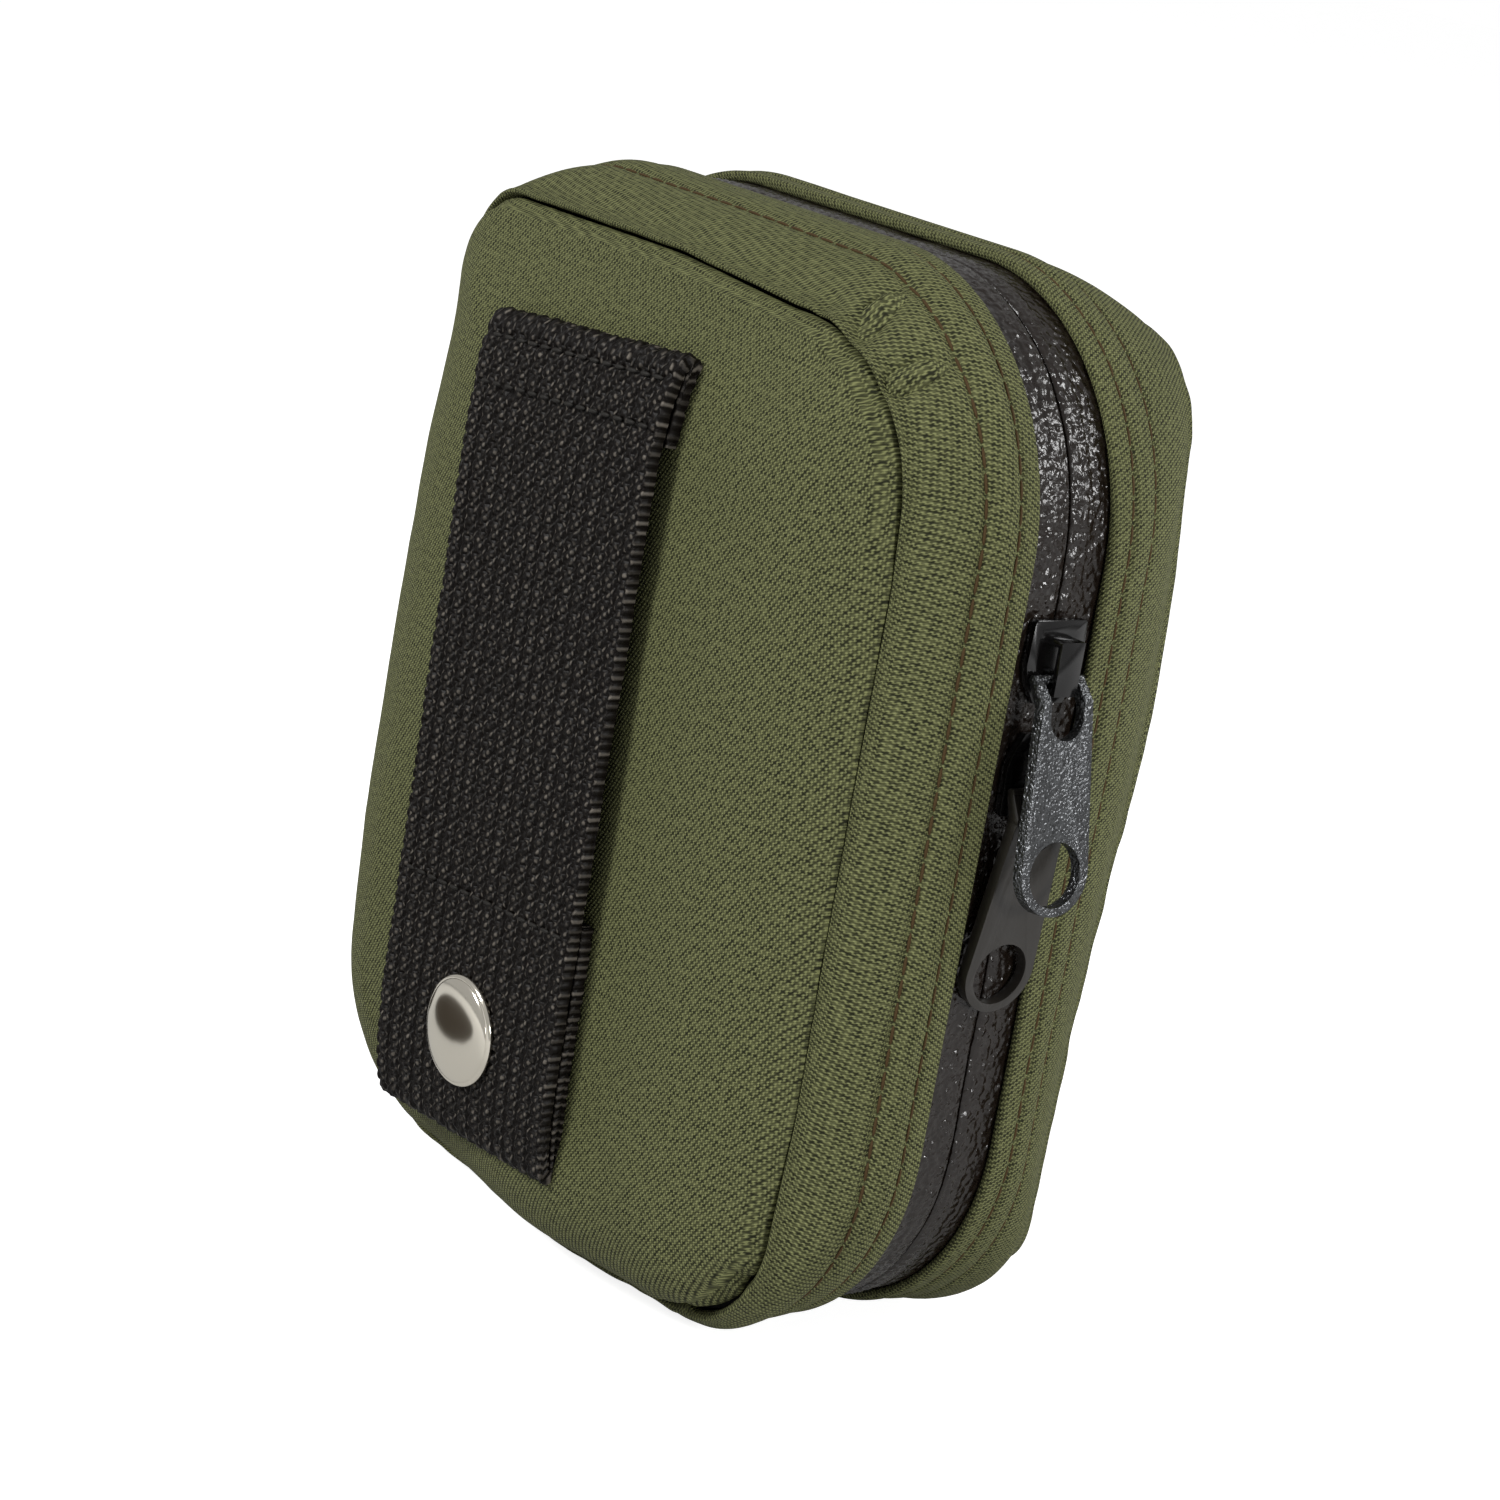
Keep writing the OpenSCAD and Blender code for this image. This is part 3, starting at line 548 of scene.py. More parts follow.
def gusset(name, seam, seam_y, hem_y, sign, marks, body):
    depth = seam_y - SHELL_T - hem_y
    rows = [(8.6, 1.5), (7.3, 1.5)]
    rows += [(6.75 - 0.75 * math.sin(a), 0.75 + 0.75 * math.cos(a)) for a in np.radians(np.arange(0, 181, 22.5))]
    row_1, row_2 = 9.2, 13.4
    outer = np.concatenate([np.arange(7.0, 14.3, 0.3), np.linspace(14.6, seam_y - 1.7, 14)])
    for y in outer:
        e = 0.42 * math.exp(-((y - row_1) / 0.42) ** 2) + 0.38 * math.exp(-((y - row_2) / 0.42) ** 2)
        if row_1 < y < row_2:
            e -= 0.22 * math.sin(math.pi * (y - row_1) / (row_2 - row_1))
        if y > row_2:
            e -= 0.55 * math.sin(math.pi * (y - row_2) / (seam_y - 0.6 - row_2))
        rows.append((y, e))
    flat_end = len(rows)
    rows += [(seam_y + y, e) for e, y in LIP_OPEN]
    shown = len(rows)
    rows += [(seam_y - 1.5, 1.6), (seam_y - 2.0, 1.5), (seam_y - 4, 1.25), ((seam_y + hem_y) / 2, 1.3), (9.6, 1.7)]
    grids = []
    for y, e in rows:
        t = min(max((y - hem_y) / depth, 0), 1)
        grids.append(ring(inset(mix(ZIP, seam, t ** 1.5, t ** 3.5), e), y))
    p = np.array(grids)
    t = np.clip((p[..., 1] - hem_y) / depth, 0, 1)
    p[..., 1] += lift_at(p, sign) * t
    p[..., 0] -= lean_at(p, sign) * t
    p[..., 2] += rise_at(p, sign) * t
    n = normals(p, True)
    out = np.sign(np.sum(n[15] * (p[15] - p[15].mean(0)), -1).mean())
    n = n * out
    n[flat_end:shown] = n[flat_end - 1]
    for k, (e, y) in enumerate(LIP_SHUT):
        shut = ring(inset(seam, e), seam_y + y)
        shut[:, 1] += lift_at(shut, sign)
        shut[:, 0] -= lean_at(shut, sign)
        shut[:, 2] += rise_at(shut, sign)
        open_by = valley_at(shut, sign)[:, None]
        p[flat_end + k] = shut + (p[flat_end + k] - shut) * open_by
    edge = np.clip(seam_y - p[..., 1] + lift_at(p, sign) * t, 0, None)
    amount = cloth_relief(p, edge) * np.clip((p[..., 1] - 6.5) / 5, 0.06, 1)
    amount[shown:] = amount[shown:] * 0.3
    amount[:2] = 0
    p = p + n * amount[..., None]
    p = trough(p, n, marks)
    p[..., 2] = np.maximum(p[..., 2], 0.05)
    p[..., 1] *= sign
    u = np.tile(along, (len(rows), 1))
    v = np.r_[0, np.cumsum(np.hypot(*np.diff(np.array(rows), axis=0).T))]
    v = np.tile(v[:, None], (1, len(along)))
    o = grid(name, p, u, v, wrap=True, loop=True)
    stitched = [int(np.argmin([abs(y - r) + (9 if k < 11 or k >= shown else 0) for k, (y, e) in enumerate(rows)]))
                for r in (row_1, row_2)]
    lines = [(p[k], n[k] * [1, sign, 1]) for k in stitched]
    finish_piece(o, body, material=olive)
    return o, lines


def panel(name, seam, seam_y, crown, power, sign, marks, body, t=SHELL_T, at=0.0, cover=None, relief=1.0):
    """Crowned panel: rings follow the seam for the first 14 mm, and a patch of crossed lines fills the rest."""
    half = (seam[1] - seam[0]) / 2
    rim = RIM_OPEN
    if at:
        rim = [(0.3, 0.0)]
    steps = np.r_[np.arange(2.7, 6, 0.5), np.arange(6, 14.1, 0.8)]
    rings = [ring(inset(seam, d), seam_y + y - at) for d, y in rim]
    rings += [ring(inset(seam, d), seam_y + crown_at(d, crown, half, power) - at) for d in steps]
    p = np.array(rings)
    # the patch inside the last ring, blended from its four sides
    last = path(inset(seam, steps[-1]))
    top, left = last[:ACROSS + 1], last[ACROSS:ACROSS + UP + 1]
    bottom = last[ACROSS + UP:2 * ACROSS + UP + 1][::-1]
    right = np.vstack([last[2 * ACROSS + UP:], last[:1]])[::-1]
    s, r = np.linspace(0, 1, ACROSS + 1)[:, None, None], np.linspace(0, 1, UP + 1)[None, :, None]
    flat = (1 - r) * top[:, None] + r * bottom[:, None] + (1 - s) * right[None] + s * left[None]
    flat = flat - ((1 - s) * (1 - r) * top[0] + s * (1 - r) * top[-1] + (1 - s) * r * bottom[0] + s * r * bottom[-1])
    far = np.array([np.min(np.hypot(*(last[::4, None] - row[None]).transpose(2, 0, 1)), axis=0) for row in flat])
    d_in = steps[-1] + np.where(far < 0.5, 0, far)
    level = seam_y + crown_at(d_in, crown, half, power) - at
    q = np.stack([flat[..., 0], level, flat[..., 1]], -1)
    d_rim = np.r_[[d for d, y in rim], steps]
    n = normals(p, True)
    n = n * np.sign(n[..., 1].mean())
    nq = normals(q, False)
    nq = nq * np.sign(nq[..., 1].mean())
    if not at:
        n[:6] = n[6]
        for k, (d, y) in enumerate(RIM_SHUT):
            shut = ring(inset(seam, d), seam_y + y)
            p[k] = shut + (p[k] - shut) * valley_at(shut, sign)[:, None]
    nq[0], nq[-1], nq[:, 0], nq[:, -1] = (0, 1, 0), (0, 1, 0), (0, 1, 0), (0, 1, 0)
    edge = np.tile(d_rim[:, None], (1, p.shape[1]))
    fade = np.clip(edge / 2, 0.1, 1)
    for grid_p, e, f in ((p, edge, fade), (q, d_in, 1.0)):
        up_way = np.array([0.0, 1.0, 0.0])
        grid_p += up_way * ((bulge(grid_p, sign) * np.clip(e / 4.5, 0, 1))[..., None])
        lift = lift_at(grid_p, sign)
        far_in = np.clip(e - 2.2, 0, None)
        high = crown_at(far_in, crown - 3.2, half, 4.0) + 3.2 - crown_at(far_in, crown, half, power)
        grid_p += up_way * (lift / 3.2 * high if sign > 0 else lift)[..., None]
        grid_p[..., 0] -= lean_at(grid_p, sign)
        grid_p[..., 2] += rise_at(grid_p, sign)
        grid_p += up_way * ((cloth_relief(grid_p + [0, 3, 0], e) * f * relief)[..., None])
    p, q = trough(p, n, marks), trough(q, nq, marks)
    # the patch's rim is the last ring itself, so that the two parts join
    q[:, 0] = p[-1][:ACROSS + 1]
    q[-1] = p[-1][ACROSS:ACROSS + UP + 1]
    q[:, -1] = p[-1][ACROSS + UP:2 * ACROSS + UP + 1][::-1]
    q[0] = np.vstack([p[-1][2 * ACROSS + UP:], p[-1][:1]])[::-1]
    rows, cols = p.shape[:2]
    i, j = np.meshgrid(np.arange(rows - 1), np.arange(cols), indexing="ij")
    i, j = i.ravel(), j.ravel()
    nj = (j + 1) % cols
    faces = np.c_[i * cols + j, i * cols + nj, (i + 1) * cols + nj, (i + 1) * cols + j]
    a, b = np.meshgrid(np.arange(ACROSS), np.arange(UP), indexing="ij")
    a, b = a.ravel(), b.ravel()
    w = UP + 1
    more = rows * cols + np.c_[a * w + b, (a + 1) * w + b, (a + 1) * w + b + 1, a * w + b + 1]
    faces = np.vstack([faces, more])
    points = np.vstack([p.reshape(-1, 3), q.reshape(-1, 3)])
    points[:, 2] = np.maximum(points[:, 2], 0.05)
    maps = points[faces.ravel()][:, [0, 2]]
    points = points * [1, sign, 1]
    o = mesh(name, points, faces, maps)
    thicken(o, t, (0, sign, 0))
    return finish_piece(o, body, material=cover or olive)


def thicken(o, t, out=(0, 1, 0)):
    """Gives an open sheet its thickness on the side away from out, and applies it."""
    facing = np.array([f.normal for f in o.data.polygons]) @ np.array(out, float)
    if facing.mean() < 0:
        o.data.flip_normals()
    mod = o.modifiers.new("cloth", "SOLIDIFY")
    mod.thickness, mod.offset = t / 1000, -1
    mod.use_quality_normals = True
    inside = o.evaluated_get(bpy.context.evaluated_depsgraph_get())
    o.data, old = bpy.data.meshes.new_from_object(inside), o.data
    o.modifiers.clear()
    bpy.data.meshes.remove(old)


# %% [markdown]
# The deepest puckers sit where the back panel turns the two corners on the zip's side: the strain of turning
# the seam leaves short folds across it, and a crevice at the lower corner.

# %% puckers of the back seam, and the two halves
back_marks = [
    ((-34.8, 19.0, 134.0), (1.6, -4.6, 2.4), 5.0, 1.7, 2.6),
    ((-42.8, 18.6, 128.4), (-1.3, -4.8, 1.7), 5.0, 1.7, 2.6),
    ((-33.6, 25.0, 128.8), (1.6, 2.4, -2.4), 3.5, 1.8, 0.8),
    ((-39.6, 23.4, 125.8), (1.8, 2.4, -1.2), 3.5, 1.8, 0.8),
    ((-45.0, 19.5, 121.0), (-1.0, -4.0, 0.5), 4.0, 1.4, 0.9),
    ((-29.0, 23.0, 133.8), (1.2, -4.0, 1.2), 3.5, 1.2, 0.7),
    ((-38.0, 21.0, 8.0), (-3.2, 1.0, 2.2), 7.0, 2.2, 1.4),
    ((-43.0, 18.5, 12.0), (-1.0, -4.5, -1.2), 5.0, 1.4, 1.4),
    ((-32.0, 18.5, 3.5), (1.0, -4.5, -1.0), 5.0, 1.4, 1.2),
    ((-37.5, 24.0, 12.0), (1.5, 2.5, 2.0), 4.0, 1.4, 1.0),
]
front_marks = [((-40, 26, 126), (-0.6, 0.3, 0.7), 4.0, 1.4, 0.9), ((-40, 26, 12), (-0.6, 0.3, -0.7), 4.0, 1.4, 0.9)]
back_gusset, back_lines = gusset("back_gusset_cloth", BACK, BACK_Y, BACK_HEM, 1, back_marks, "back_half")
front_gusset, front_lines = gusset("front_gusset_cloth", FRONT, FRONT_Y, FRONT_HEM, -1, front_marks, "front_half")
back_panel = panel("back_panel_cloth", BACK, BACK_Y, BACK_CROWN, BACK_POWER, 1, back_marks, "back_half")
front_panel = panel("front_panel_cloth", FRONT, FRONT_Y, FRONT_CROWN, FRONT_POWER, -1, front_marks, "front_half")
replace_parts(back_gusset, "back_gusset", "back_gusset_hem")
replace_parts(front_gusset, "front_gusset", "front_gusset_hem")
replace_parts(back_panel, "back_panel")
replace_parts(front_panel, "front_panel")
for o in (back_gusset, front_gusset, back_panel, front_panel):
    print(o.name, len(o.data.vertices), "vertices", [round(x * 1000, 1) for x in o.dimensions])

# %% [markdown]
# The stitches are short dashes of waxed brown thread, 3 mm apart, each sunk into the groove that it pulls.

# %% stitches
def dashes(name, lines, pitch, length, radius, body, cover, keep=None, sink=0.1):
    points, faces = [], []
    shape = [(-1, 0.0), (-0.86, 0.62), (-0.45, 1.0), (0.45, 1.0), (0.86, 0.62), (1, 0.0)]
    for line, up in lines:
        closed = np.vstack([line, line[:1]])
        ups = np.vstack([up, up[:1]])
        far = np.r_[0, np.cumsum(np.linalg.norm(np.diff(closed, axis=0), axis=1))]
        count = int(far[-1] // pitch)
        for k in range(count):
            s = (k + 0.5) * far[-1] / count
            at = np.array([np.interp(s, far, closed[:, i]) for i in range(3)])
            ahead = np.array([np.interp(s + 0.5, far, closed[:, i]) for i in range(3)]) - at
            if keep is not None and not keep(at):
                continue
            out = np.array([np.interp(s, far, ups[:, i]) for i in range(3)])
            ahead, out = ahead / np.linalg.norm(ahead), out / np.linalg.norm(out)
            side = np.cross(ahead, out)
            start = len(points)
            for a, r in shape:
                dip = out * (-0.35 * abs(a) ** 2 * radius)
                for c in range(6):
                    t = math.radians(60 * c)
                    points.append(at + out * (radius - sink) + ahead * a * length / 2 + dip
                                  + (side * math.cos(t) + out * 0.8 * math.sin(t)) * max(r, 0.02) * radius)
            for a in range(len(shape) - 1):
                for c in range(6):
                    q = start + a * 6
                    faces.append([q + c, q + (c + 1) % 6, q + 6 + (c + 1) % 6, q + 6 + c])
            faces += [[start + c for c in range(6)], [start + 30 + c for c in range(6)]]
    o = mesh(name, points, faces)
    return finish_piece(o, body, material=cover)


dashes("back_stitching", back_lines, 3.0, 2.6, 0.21, "back_half", thread)
dashes("front_stitching", front_lines, 3.0, 2.6, 0.21, "front_half", thread)

# %% [markdown]
# ## Zip and spine
# A water-repellent zip: its teeth are a nylon coil sewn to the inside, and the outer side is film-faced tape
# whose two edges meet at a slit. The coil presses two columns of small bumps into each tape.

# %% tape, coil and spine
def run(o_in, x_lo=None, x_hi=None, per=0.4):
    """The part of the zip's line between two limits in X, in even steps, with its distance along."""
    line = path(o_in, 400, 560)
    if x_hi is not None:
        keep = [i for i in range(len(line)) if line[i, 0] < x_hi]
        gap = [k for k in range(1, len(keep)) if keep[k] - keep[k - 1] > 1]
        if gap:
            keep = keep[gap[0]:] + keep[:gap[0]]
    else:
        keep = [i for i in range(len(line)) if line[i, 0] > x_lo]
        gap = [k for k in range(1, len(keep)) if keep[k] - keep[k - 1] > 1]
        if gap:
            keep = keep[gap[0]:] + keep[:gap[0]]
    line = line[keep]
    far = np.r_[0, np.cumsum(np.hypot(*np.diff(line, axis=0).T))]
    s = np.arange(0, far[-1], per)
    return np.c_[np.interp(s, far, line[:, 0]), np.interp(s, far, line[:, 1])], s


def tape_side(name, sign, body, nodes):
    line, s = run(inset(ZIP, 1.5), x_hi=38)
    depths = np.r_[0.13, 0.2, np.arange(0.4, 3.8, 0.22), np.arange(4, 8.9, 0.5)]
    p = np.stack([np.c_[line[:, 0], np.full(len(line), y), line[:, 1]] for y in depths])
    n = normals(p, False)
    mid = np.array([0, 0, 70.0])
    n = n * np.sign(np.sum(n * (p - mid), -1).mean())
    y = p[..., 1]
    beat = 0.5 + 0.5 * np.cos(2 * math.pi * (s[None] + 0.4 * sign) / 1.62)
    columns = np.exp(-((y - 1.26) / 0.42) ** 2) + 0.8 * np.exp(-((y - 2.6) / 0.42) ** 2)
    lift = 0.2 * beat * columns + 0.1 * np.exp(-((y - 1.9) / 1.4) ** 2) + 0.1 * noise(p, 5, 9)
    p = p + n * lift[..., None] - n * (0.25 * np.exp(-((y - 0.13) / 0.12) ** 2))[..., None]
    p[..., 1] *= sign
    u = np.tile(s, (len(depths), 1))
    v = np.tile(depths[:, None], (1, len(s)))
    q = p if sign > 0 else p[::-1]
    uu, vv = (u, v) if sign > 0 else (u[::-1], v[::-1])
    inner = q - n * 0.55 if sign > 0 else q - (n * [1, -1, 1])[::-1] * 0.55
    both = np.concatenate([q, inner[::-1]])
    o = grid(name, both, np.concatenate([uu, uu[::-1]]), np.concatenate([vv, vv[::-1]]), False, True, True)
    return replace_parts(finish_piece(o, body, material=tape), *nodes)


def coil_side(name, sign, body, node):
    line, s = run(inset(ZIP, 3.05), x_hi=37.5, per=1.4 / 14)
    t = 2 * math.pi * s / 1.4 + (math.pi if sign < 0 else 0)
    ahead = np.gradient(line, axis=0)
    ahead /= np.linalg.norm(ahead, axis=1)[:, None]
    out = np.c_[ahead[:, 1], -ahead[:, 0]]
    if np.sum(out * (line - [0, 70])) < 0:
        out = -out
    centre = np.stack([line[:, 0] + out[:, 0] * 0.42 * np.sin(t), sign * (1.75 + 0.85 * np.cos(t)),
                       line[:, 1] + out[:, 1] * 0.42 * np.sin(t)], -1)
    way = np.gradient(centre, axis=0)
    way /= np.linalg.norm(way, axis=1)[:, None]
    side = np.cross(way, [0, 1.0, 0.001])
    side /= np.linalg.norm(side, axis=1)[:, None]
    up = np.cross(side, way)
    around = np.radians(np.arange(0, 360, 60))
    wire = 0.28
    p = centre[:, None] + wire * (np.cos(around)[None, :, None] * side[:, None]
                                  + np.sin(around)[None, :, None] * up[:, None])
    u = np.tile(np.arange(7.0), (len(s), 1))
    v = np.tile(s[:, None], (1, 7))
    o = grid(name, p, u, v, wrap=True)
    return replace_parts(finish_piece(o, body, material=coil), node)


tape_side("back_tape", 1, "back_half", ["back_zip_tape"])
tape_side("front_tape", -1, "front_half", ["front_zip_tape"])
coil_side("back_coil", 1, "back_half", "back_zip_coil")
coil_side("front_coil", -1, "front_half", "front_zip_coil")

line, s = run(inset(ZIP, 1.6), x_lo=38.2, per=0.8)
depths = np.linspace(-8.6, 8.6, 40)
p = np.stack([np.c_[line[:, 0], np.full(len(line), y), line[:, 1]] for y in depths])
n = normals(p, False)
n = n * np.sign(np.sum(n * (p - np.array([0, 0, 70.0])), -1).mean())
p = p + n * (0.2 * noise(p, 9, 11))[..., None]
n = normals(p, False)
n = n * np.sign(np.sum(n * (p - np.array([0, 0, 70.0])), -1).mean())
both = np.concatenate([p, (p - n * 0.8)[::-1]])
u = np.tile(s, (80, 1))
v = np.tile(np.r_[depths, depths[::-1]][:, None], (1, len(s)))
spine = grid("spine_cloth", both, u, v, False, True, True)
spine.data.materials.append(olive)
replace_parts(spine, "back_spine_leaf", "front_spine_leaf")
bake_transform(spine)
print("spine cloth", len(spine.data.vertices), "vertices")

# %% [markdown]
# ## Belt loop
# One length of 40 mm black webbing: its top end is doubled and sewn flat to the panel, it hangs free, and its
# lower end is turned back behind itself and holds the press stud's cap. Heavy webbing shows each warp yarn as
# a grain about 1 mm wide and 2 mm long, staggered from column to column, so the grains are modelled.

# %% webbing
LOOP_X, WEB_T = 5.5, 1.6
HINGE_Z, SNAP_Z, SKEW = 111.5, 28.3, math.tan(math.radians(4.3))


def panel_y(z):
    """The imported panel's face behind the loop."""
    d = np.minimum(z - 0.2, 133.8 - z)
    return BACK_Y + crown_at(d, BACK_CROWN, 47.75, BACK_POWER)


def strap_y(z):
    """Outer face of the loop, which its doubled ends lift."""
    return panel_y(z) + 0.3 + 1.7 + WEB_T


def grains(x, s):
    """Height of the webbing's grains across and along it."""
    col = x / 1.25
    k = np.floor(col)
    fx = 2 * (col - k) - 1
    fs = 2 * ((s / 1.9 + 0.5 * (k % 2)) % 1) - 1
    return np.sqrt(np.clip(1 - fx ** 2, 0, 1)) ** 0.8 * np.clip(1 - fs ** 2, 0, 1) ** 0.45


def webbing_line(x):
    """Middle of the webbing in Y and Z at one place across it, from the top's lower layer to the turned-back end."""
    top, low = 121.5 - SKEW * (x - LOOP_X), 13.6 - SKEW * (x - LOOP_X)
    rows = []
    for z in np.linspace(112.3, top - 0.85, 22):
        rows.append((float(panel_y(z)) + 0.1 + 0.75, z))
    y_in, y_out = float(panel_y(top)) + 0.85, float(strap_y(top)) - 0.8
    mid, r = (y_in + y_out) / 2, (y_out - y_in) / 2
    rows += [(mid - r * math.cos(a), top - 0.85 + r * 0.9 * math.sin(a)) for a in np.linspace(0.3, math.pi - 0.3, 6)]
    for z in np.linspace(top - 0.85, low + 0.9, 300):
        rows.append((float(strap_y(z)) - 0.8, z))
    y_in, y_out = float(panel_y(low)) + 1.1, float(strap_y(low)) - 0.8
    mid, r = (y_in + y_out) / 2, (y_out - y_in) / 2
    rows += [(mid + r * math.cos(a), low + 0.9 - r * 0.9 * math.sin(a)) for a in np.linspace(0.3, math.pi - 0.3, 6)]
    for z in np.linspace(low + 0.9, 49.5, 90):
        rows.append((float(panel_y(z)) + 1.1, z))
    return np.array(rows)


across = np.concatenate([[-20, -19.9, -19.7], np.arange(-19.4, 19.5, 0.26), [19.7, 19.9, 20]]) + LOOP_X
middle = np.array([webbing_line(x) for x in across]).transpose(1, 0, 2)
p = np.stack([np.tile(across, (len(middle), 1)), middle[..., 0], middle[..., 1]], -1)
s = np.cumsum(np.r_[0, np.linalg.norm(np.diff(p[:, len(across) // 2], axis=0), axis=1)])
n = normals(p, False)
if n[200, 80, 1] < 0:
    n = -n
edge = np.minimum(across - across[0], across[-1] - across)
half = np.where(edge < 0.6, 0.35 + 0.33 * np.sqrt(np.clip(1 - (1 - edge / 0.6) ** 2, 0, 1)), 0.68)
g = grains(across[None] + 0.15 * noise(p, 8, 21), s[:, None] + 0.5 * noise(p, 6, 22))
wave = 0.12 * noise(p, 14, 23) + 0.1 * noise(p, 3, 24)
which_side = np.sign(across[None] - LOOP_X) * 50 + 0 * p[..., 0]
side_wave = 0.16 * noise(np.stack([which_side, p[..., 1], p[..., 2]], -1), 5, 25)
p[..., 0] += side_wave * np.clip(1 - edge / 3, 0, 1)[None]
sewn = np.zeros(len(middle))
for row, z in enumerate(p[:, len(across) // 2, 2]):
    if 28 <= row < 328:
        sewn[row] = 0.3 * math.exp(-((z - 112.4) / 0.6) ** 2) + 0.3 * math.exp(-((z - 119.3) / 0.6) ** 2)
outer = p + n * (half[None] - 0.1 + 0.62 * g + wave - sewn[:, None])[..., None]
inner = p - n * (half[None] + 0.2 * g - wave)[..., None]
both = np.concatenate([outer, inner[::-1]])
u = np.tile(across, (2 * len(middle), 1))
v = np.tile(np.r_[s, s[::-1]][:, None], (1, len(across)))
loop = grid("loop_webbing", both, u, v, False, True, True)
loop.data.materials.append(webbing)
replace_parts(loop, "belt_strap", "strap_hem", "strap_anchor")
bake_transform(loop)
print("webbing", len(loop.data.vertices), "vertices, cut", round(s[-1]), "mm long")

# the rows of stitches that hold the anchor and the turned end
def across_row(z, face):
    xs = np.arange(-18.6, 18.7, 0.5) + LOOP_X
    zs = z - SKEW * (xs - LOOP_X)
    return np.c_[xs, face(zs) + 0.16, zs], np.tile([0.0, 1.0, 0.0], (len(xs), 1))


def open_dashes(name, lines, body):
    near = [(np.vstack([line, line[::-1][1:-1]]), np.vstack([up, up[::-1][1:-1]])) for line, up in lines]
    return dashes(name, near, 2.6, 1.9, 0.3, body, black_thread, sink=0.12)


black_thread = material("black_thread", srgb(30, 28, 25), 0.6, effect=pebble, settings=[("Fineness", 5.0)],
                        mapped=False, bump=0.4, distance=0.0001)
open_dashes("anchor_stitching", [across_row(113.2, strap_y), across_row(119.3, strap_y)], "back_half")
open_dashes("loop_stitching", [across_row(46.5, strap_y)], "belt_loop")

# %% [markdown]
# ## Press stud
# A nickel-plated brass cap with a polished dome and a rolled rim, turned here from its profile. Behind it sit
# the socket ring, the stud and the stud's own flat head inside the case.

# %% turned metal
def turned(name, profile, centre, body, nodes, steps=96, cover=None, axis="y", closed=False):
    """Turns a profile of radius and height about +Y or Z."""
    prof = np.array(profile, float)
    t = np.linspace(0, 2 * math.pi, steps, endpoint=False)
    r, h = prof[:, :1], prof[:, 1:]
    a, b = r * np.cos(t), r * np.sin(t)
    high = np.repeat(h, steps, axis=1)
    p = np.stack([a, high, b], -1) if axis == "y" else np.stack([a, b, high], -1)
    p = p + np.array(centre)
    u = np.tile(np.linspace(0, 2 * math.pi * prof[:, 0].max(), steps + 1), (len(prof), 1))
    far = np.r_[0, np.cumsum(np.hypot(*np.diff(prof, axis=0).T))]
    v = np.tile(far[:, None], (1, steps + 1))
    o = grid(name, p, u, v, wrap=True, loop=closed, sharp=55)
    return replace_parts(finish_piece(o, body, material=cover or nickel), *nodes)


face = float(strap_y(SNAP_Z))
dome = [(0.001, 0.1), (6.6, 0.1), (7.0, -0.05), (7.35, 0.1), (7.5, 0.4), (7.45, 0.75), (7.2, 0.98), (6.9, 1.02)]
dome += [(6.9 * math.sin(a), 1.02 + 1.2 * (math.cos(a) ** 1.2)) for a in np.linspace(math.pi / 2, 0.0, 26)[1:-1]]
dome += [(0.001, 2.22)]
turned("snap_cap_shell", dome, (LOOP_X, face + 0.1, SNAP_Z), "belt_loop", ["snap_cap"])
ring_profile = [(2.6, 0.0), (2.9, -0.35), (4.6, -0.45), (5.6, -0.2), (5.9, 0.1), (5.9, 3.2), (2.6, 3.2)]
turned("snap_socket_ring", ring_profile, (LOOP_X, face - 3.3, SNAP_Z), "belt_loop", ["snap_socket"], closed=True)
foot = float(panel_y(SNAP_Z)) - 1.2
stud = [(0.001, 0.0), (2.1, 0.0), (2.1, 2.3), (2.25, 2.5), (2.25, 2.9), (2.05, 3.2), (1.4, 3.4), (0.001, 3.42)]
turned("snap_stud_post", stud, (LOOP_X, foot, SNAP_Z), "back_half", ["snap_stud"], 48)
base = foot - 0.1 - 0.6 - 0.7
head = [(0.001, 0.0), (4.1, 0.0), (4.45, -0.2), (4.5, -0.45), (4.3, -0.7), (2.2, -0.78), (1.6, -0.62), (0.001, -0.6)]
turned("snap_rivet_disc", head, (LOOP_X, base, SNAP_Z), "back_half", ["snap_rivet_head"], 48)

# %% [markdown]
# ## Sliders and pulls
# Die-cast zinc, stove-enamelled black, with edges rounded by tumbling and the thick enamel. Each is the packed
# solid with its edges rounded, so that they take the light.

# %% rounded copies of hard pieces
def rounded(node, body, cover, width=0.22, segments=3, angle=28):
    import bmesh
    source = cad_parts[node]
    m = source.data.copy()
    o = bpy.data.objects.new(node + "_rounded", m)
    bpy.context.collection.objects.link(o)
    o.matrix_world = source.matrix_world.copy()
    b = bmesh.new()
    b.from_mesh(m)
    bmesh.ops.remove_doubles(b, verts=b.verts, dist=2e-6)
    bmesh.ops.dissolve_limit(b, angle_limit=math.radians(1.5), verts=b.verts, edges=b.edges)
    b.to_mesh(m)
    b.free()
    bevel = o.modifiers.new("edge", "BEVEL")
    bevel.width, bevel.segments, bevel.angle_limit = width / 1000, segments, math.radians(angle)
    bevel.harden_normals = True
    shaped = o.evaluated_get(bpy.context.evaluated_depsgraph_get())
    o.data = bpy.data.meshes.new_from_object(shaped)
    o.modifiers.clear()
    o.data.polygons.foreach_set("use_smooth", [True] * len(o.data.polygons))
    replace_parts(finish_piece(o, body, material=cover), node)
    return o


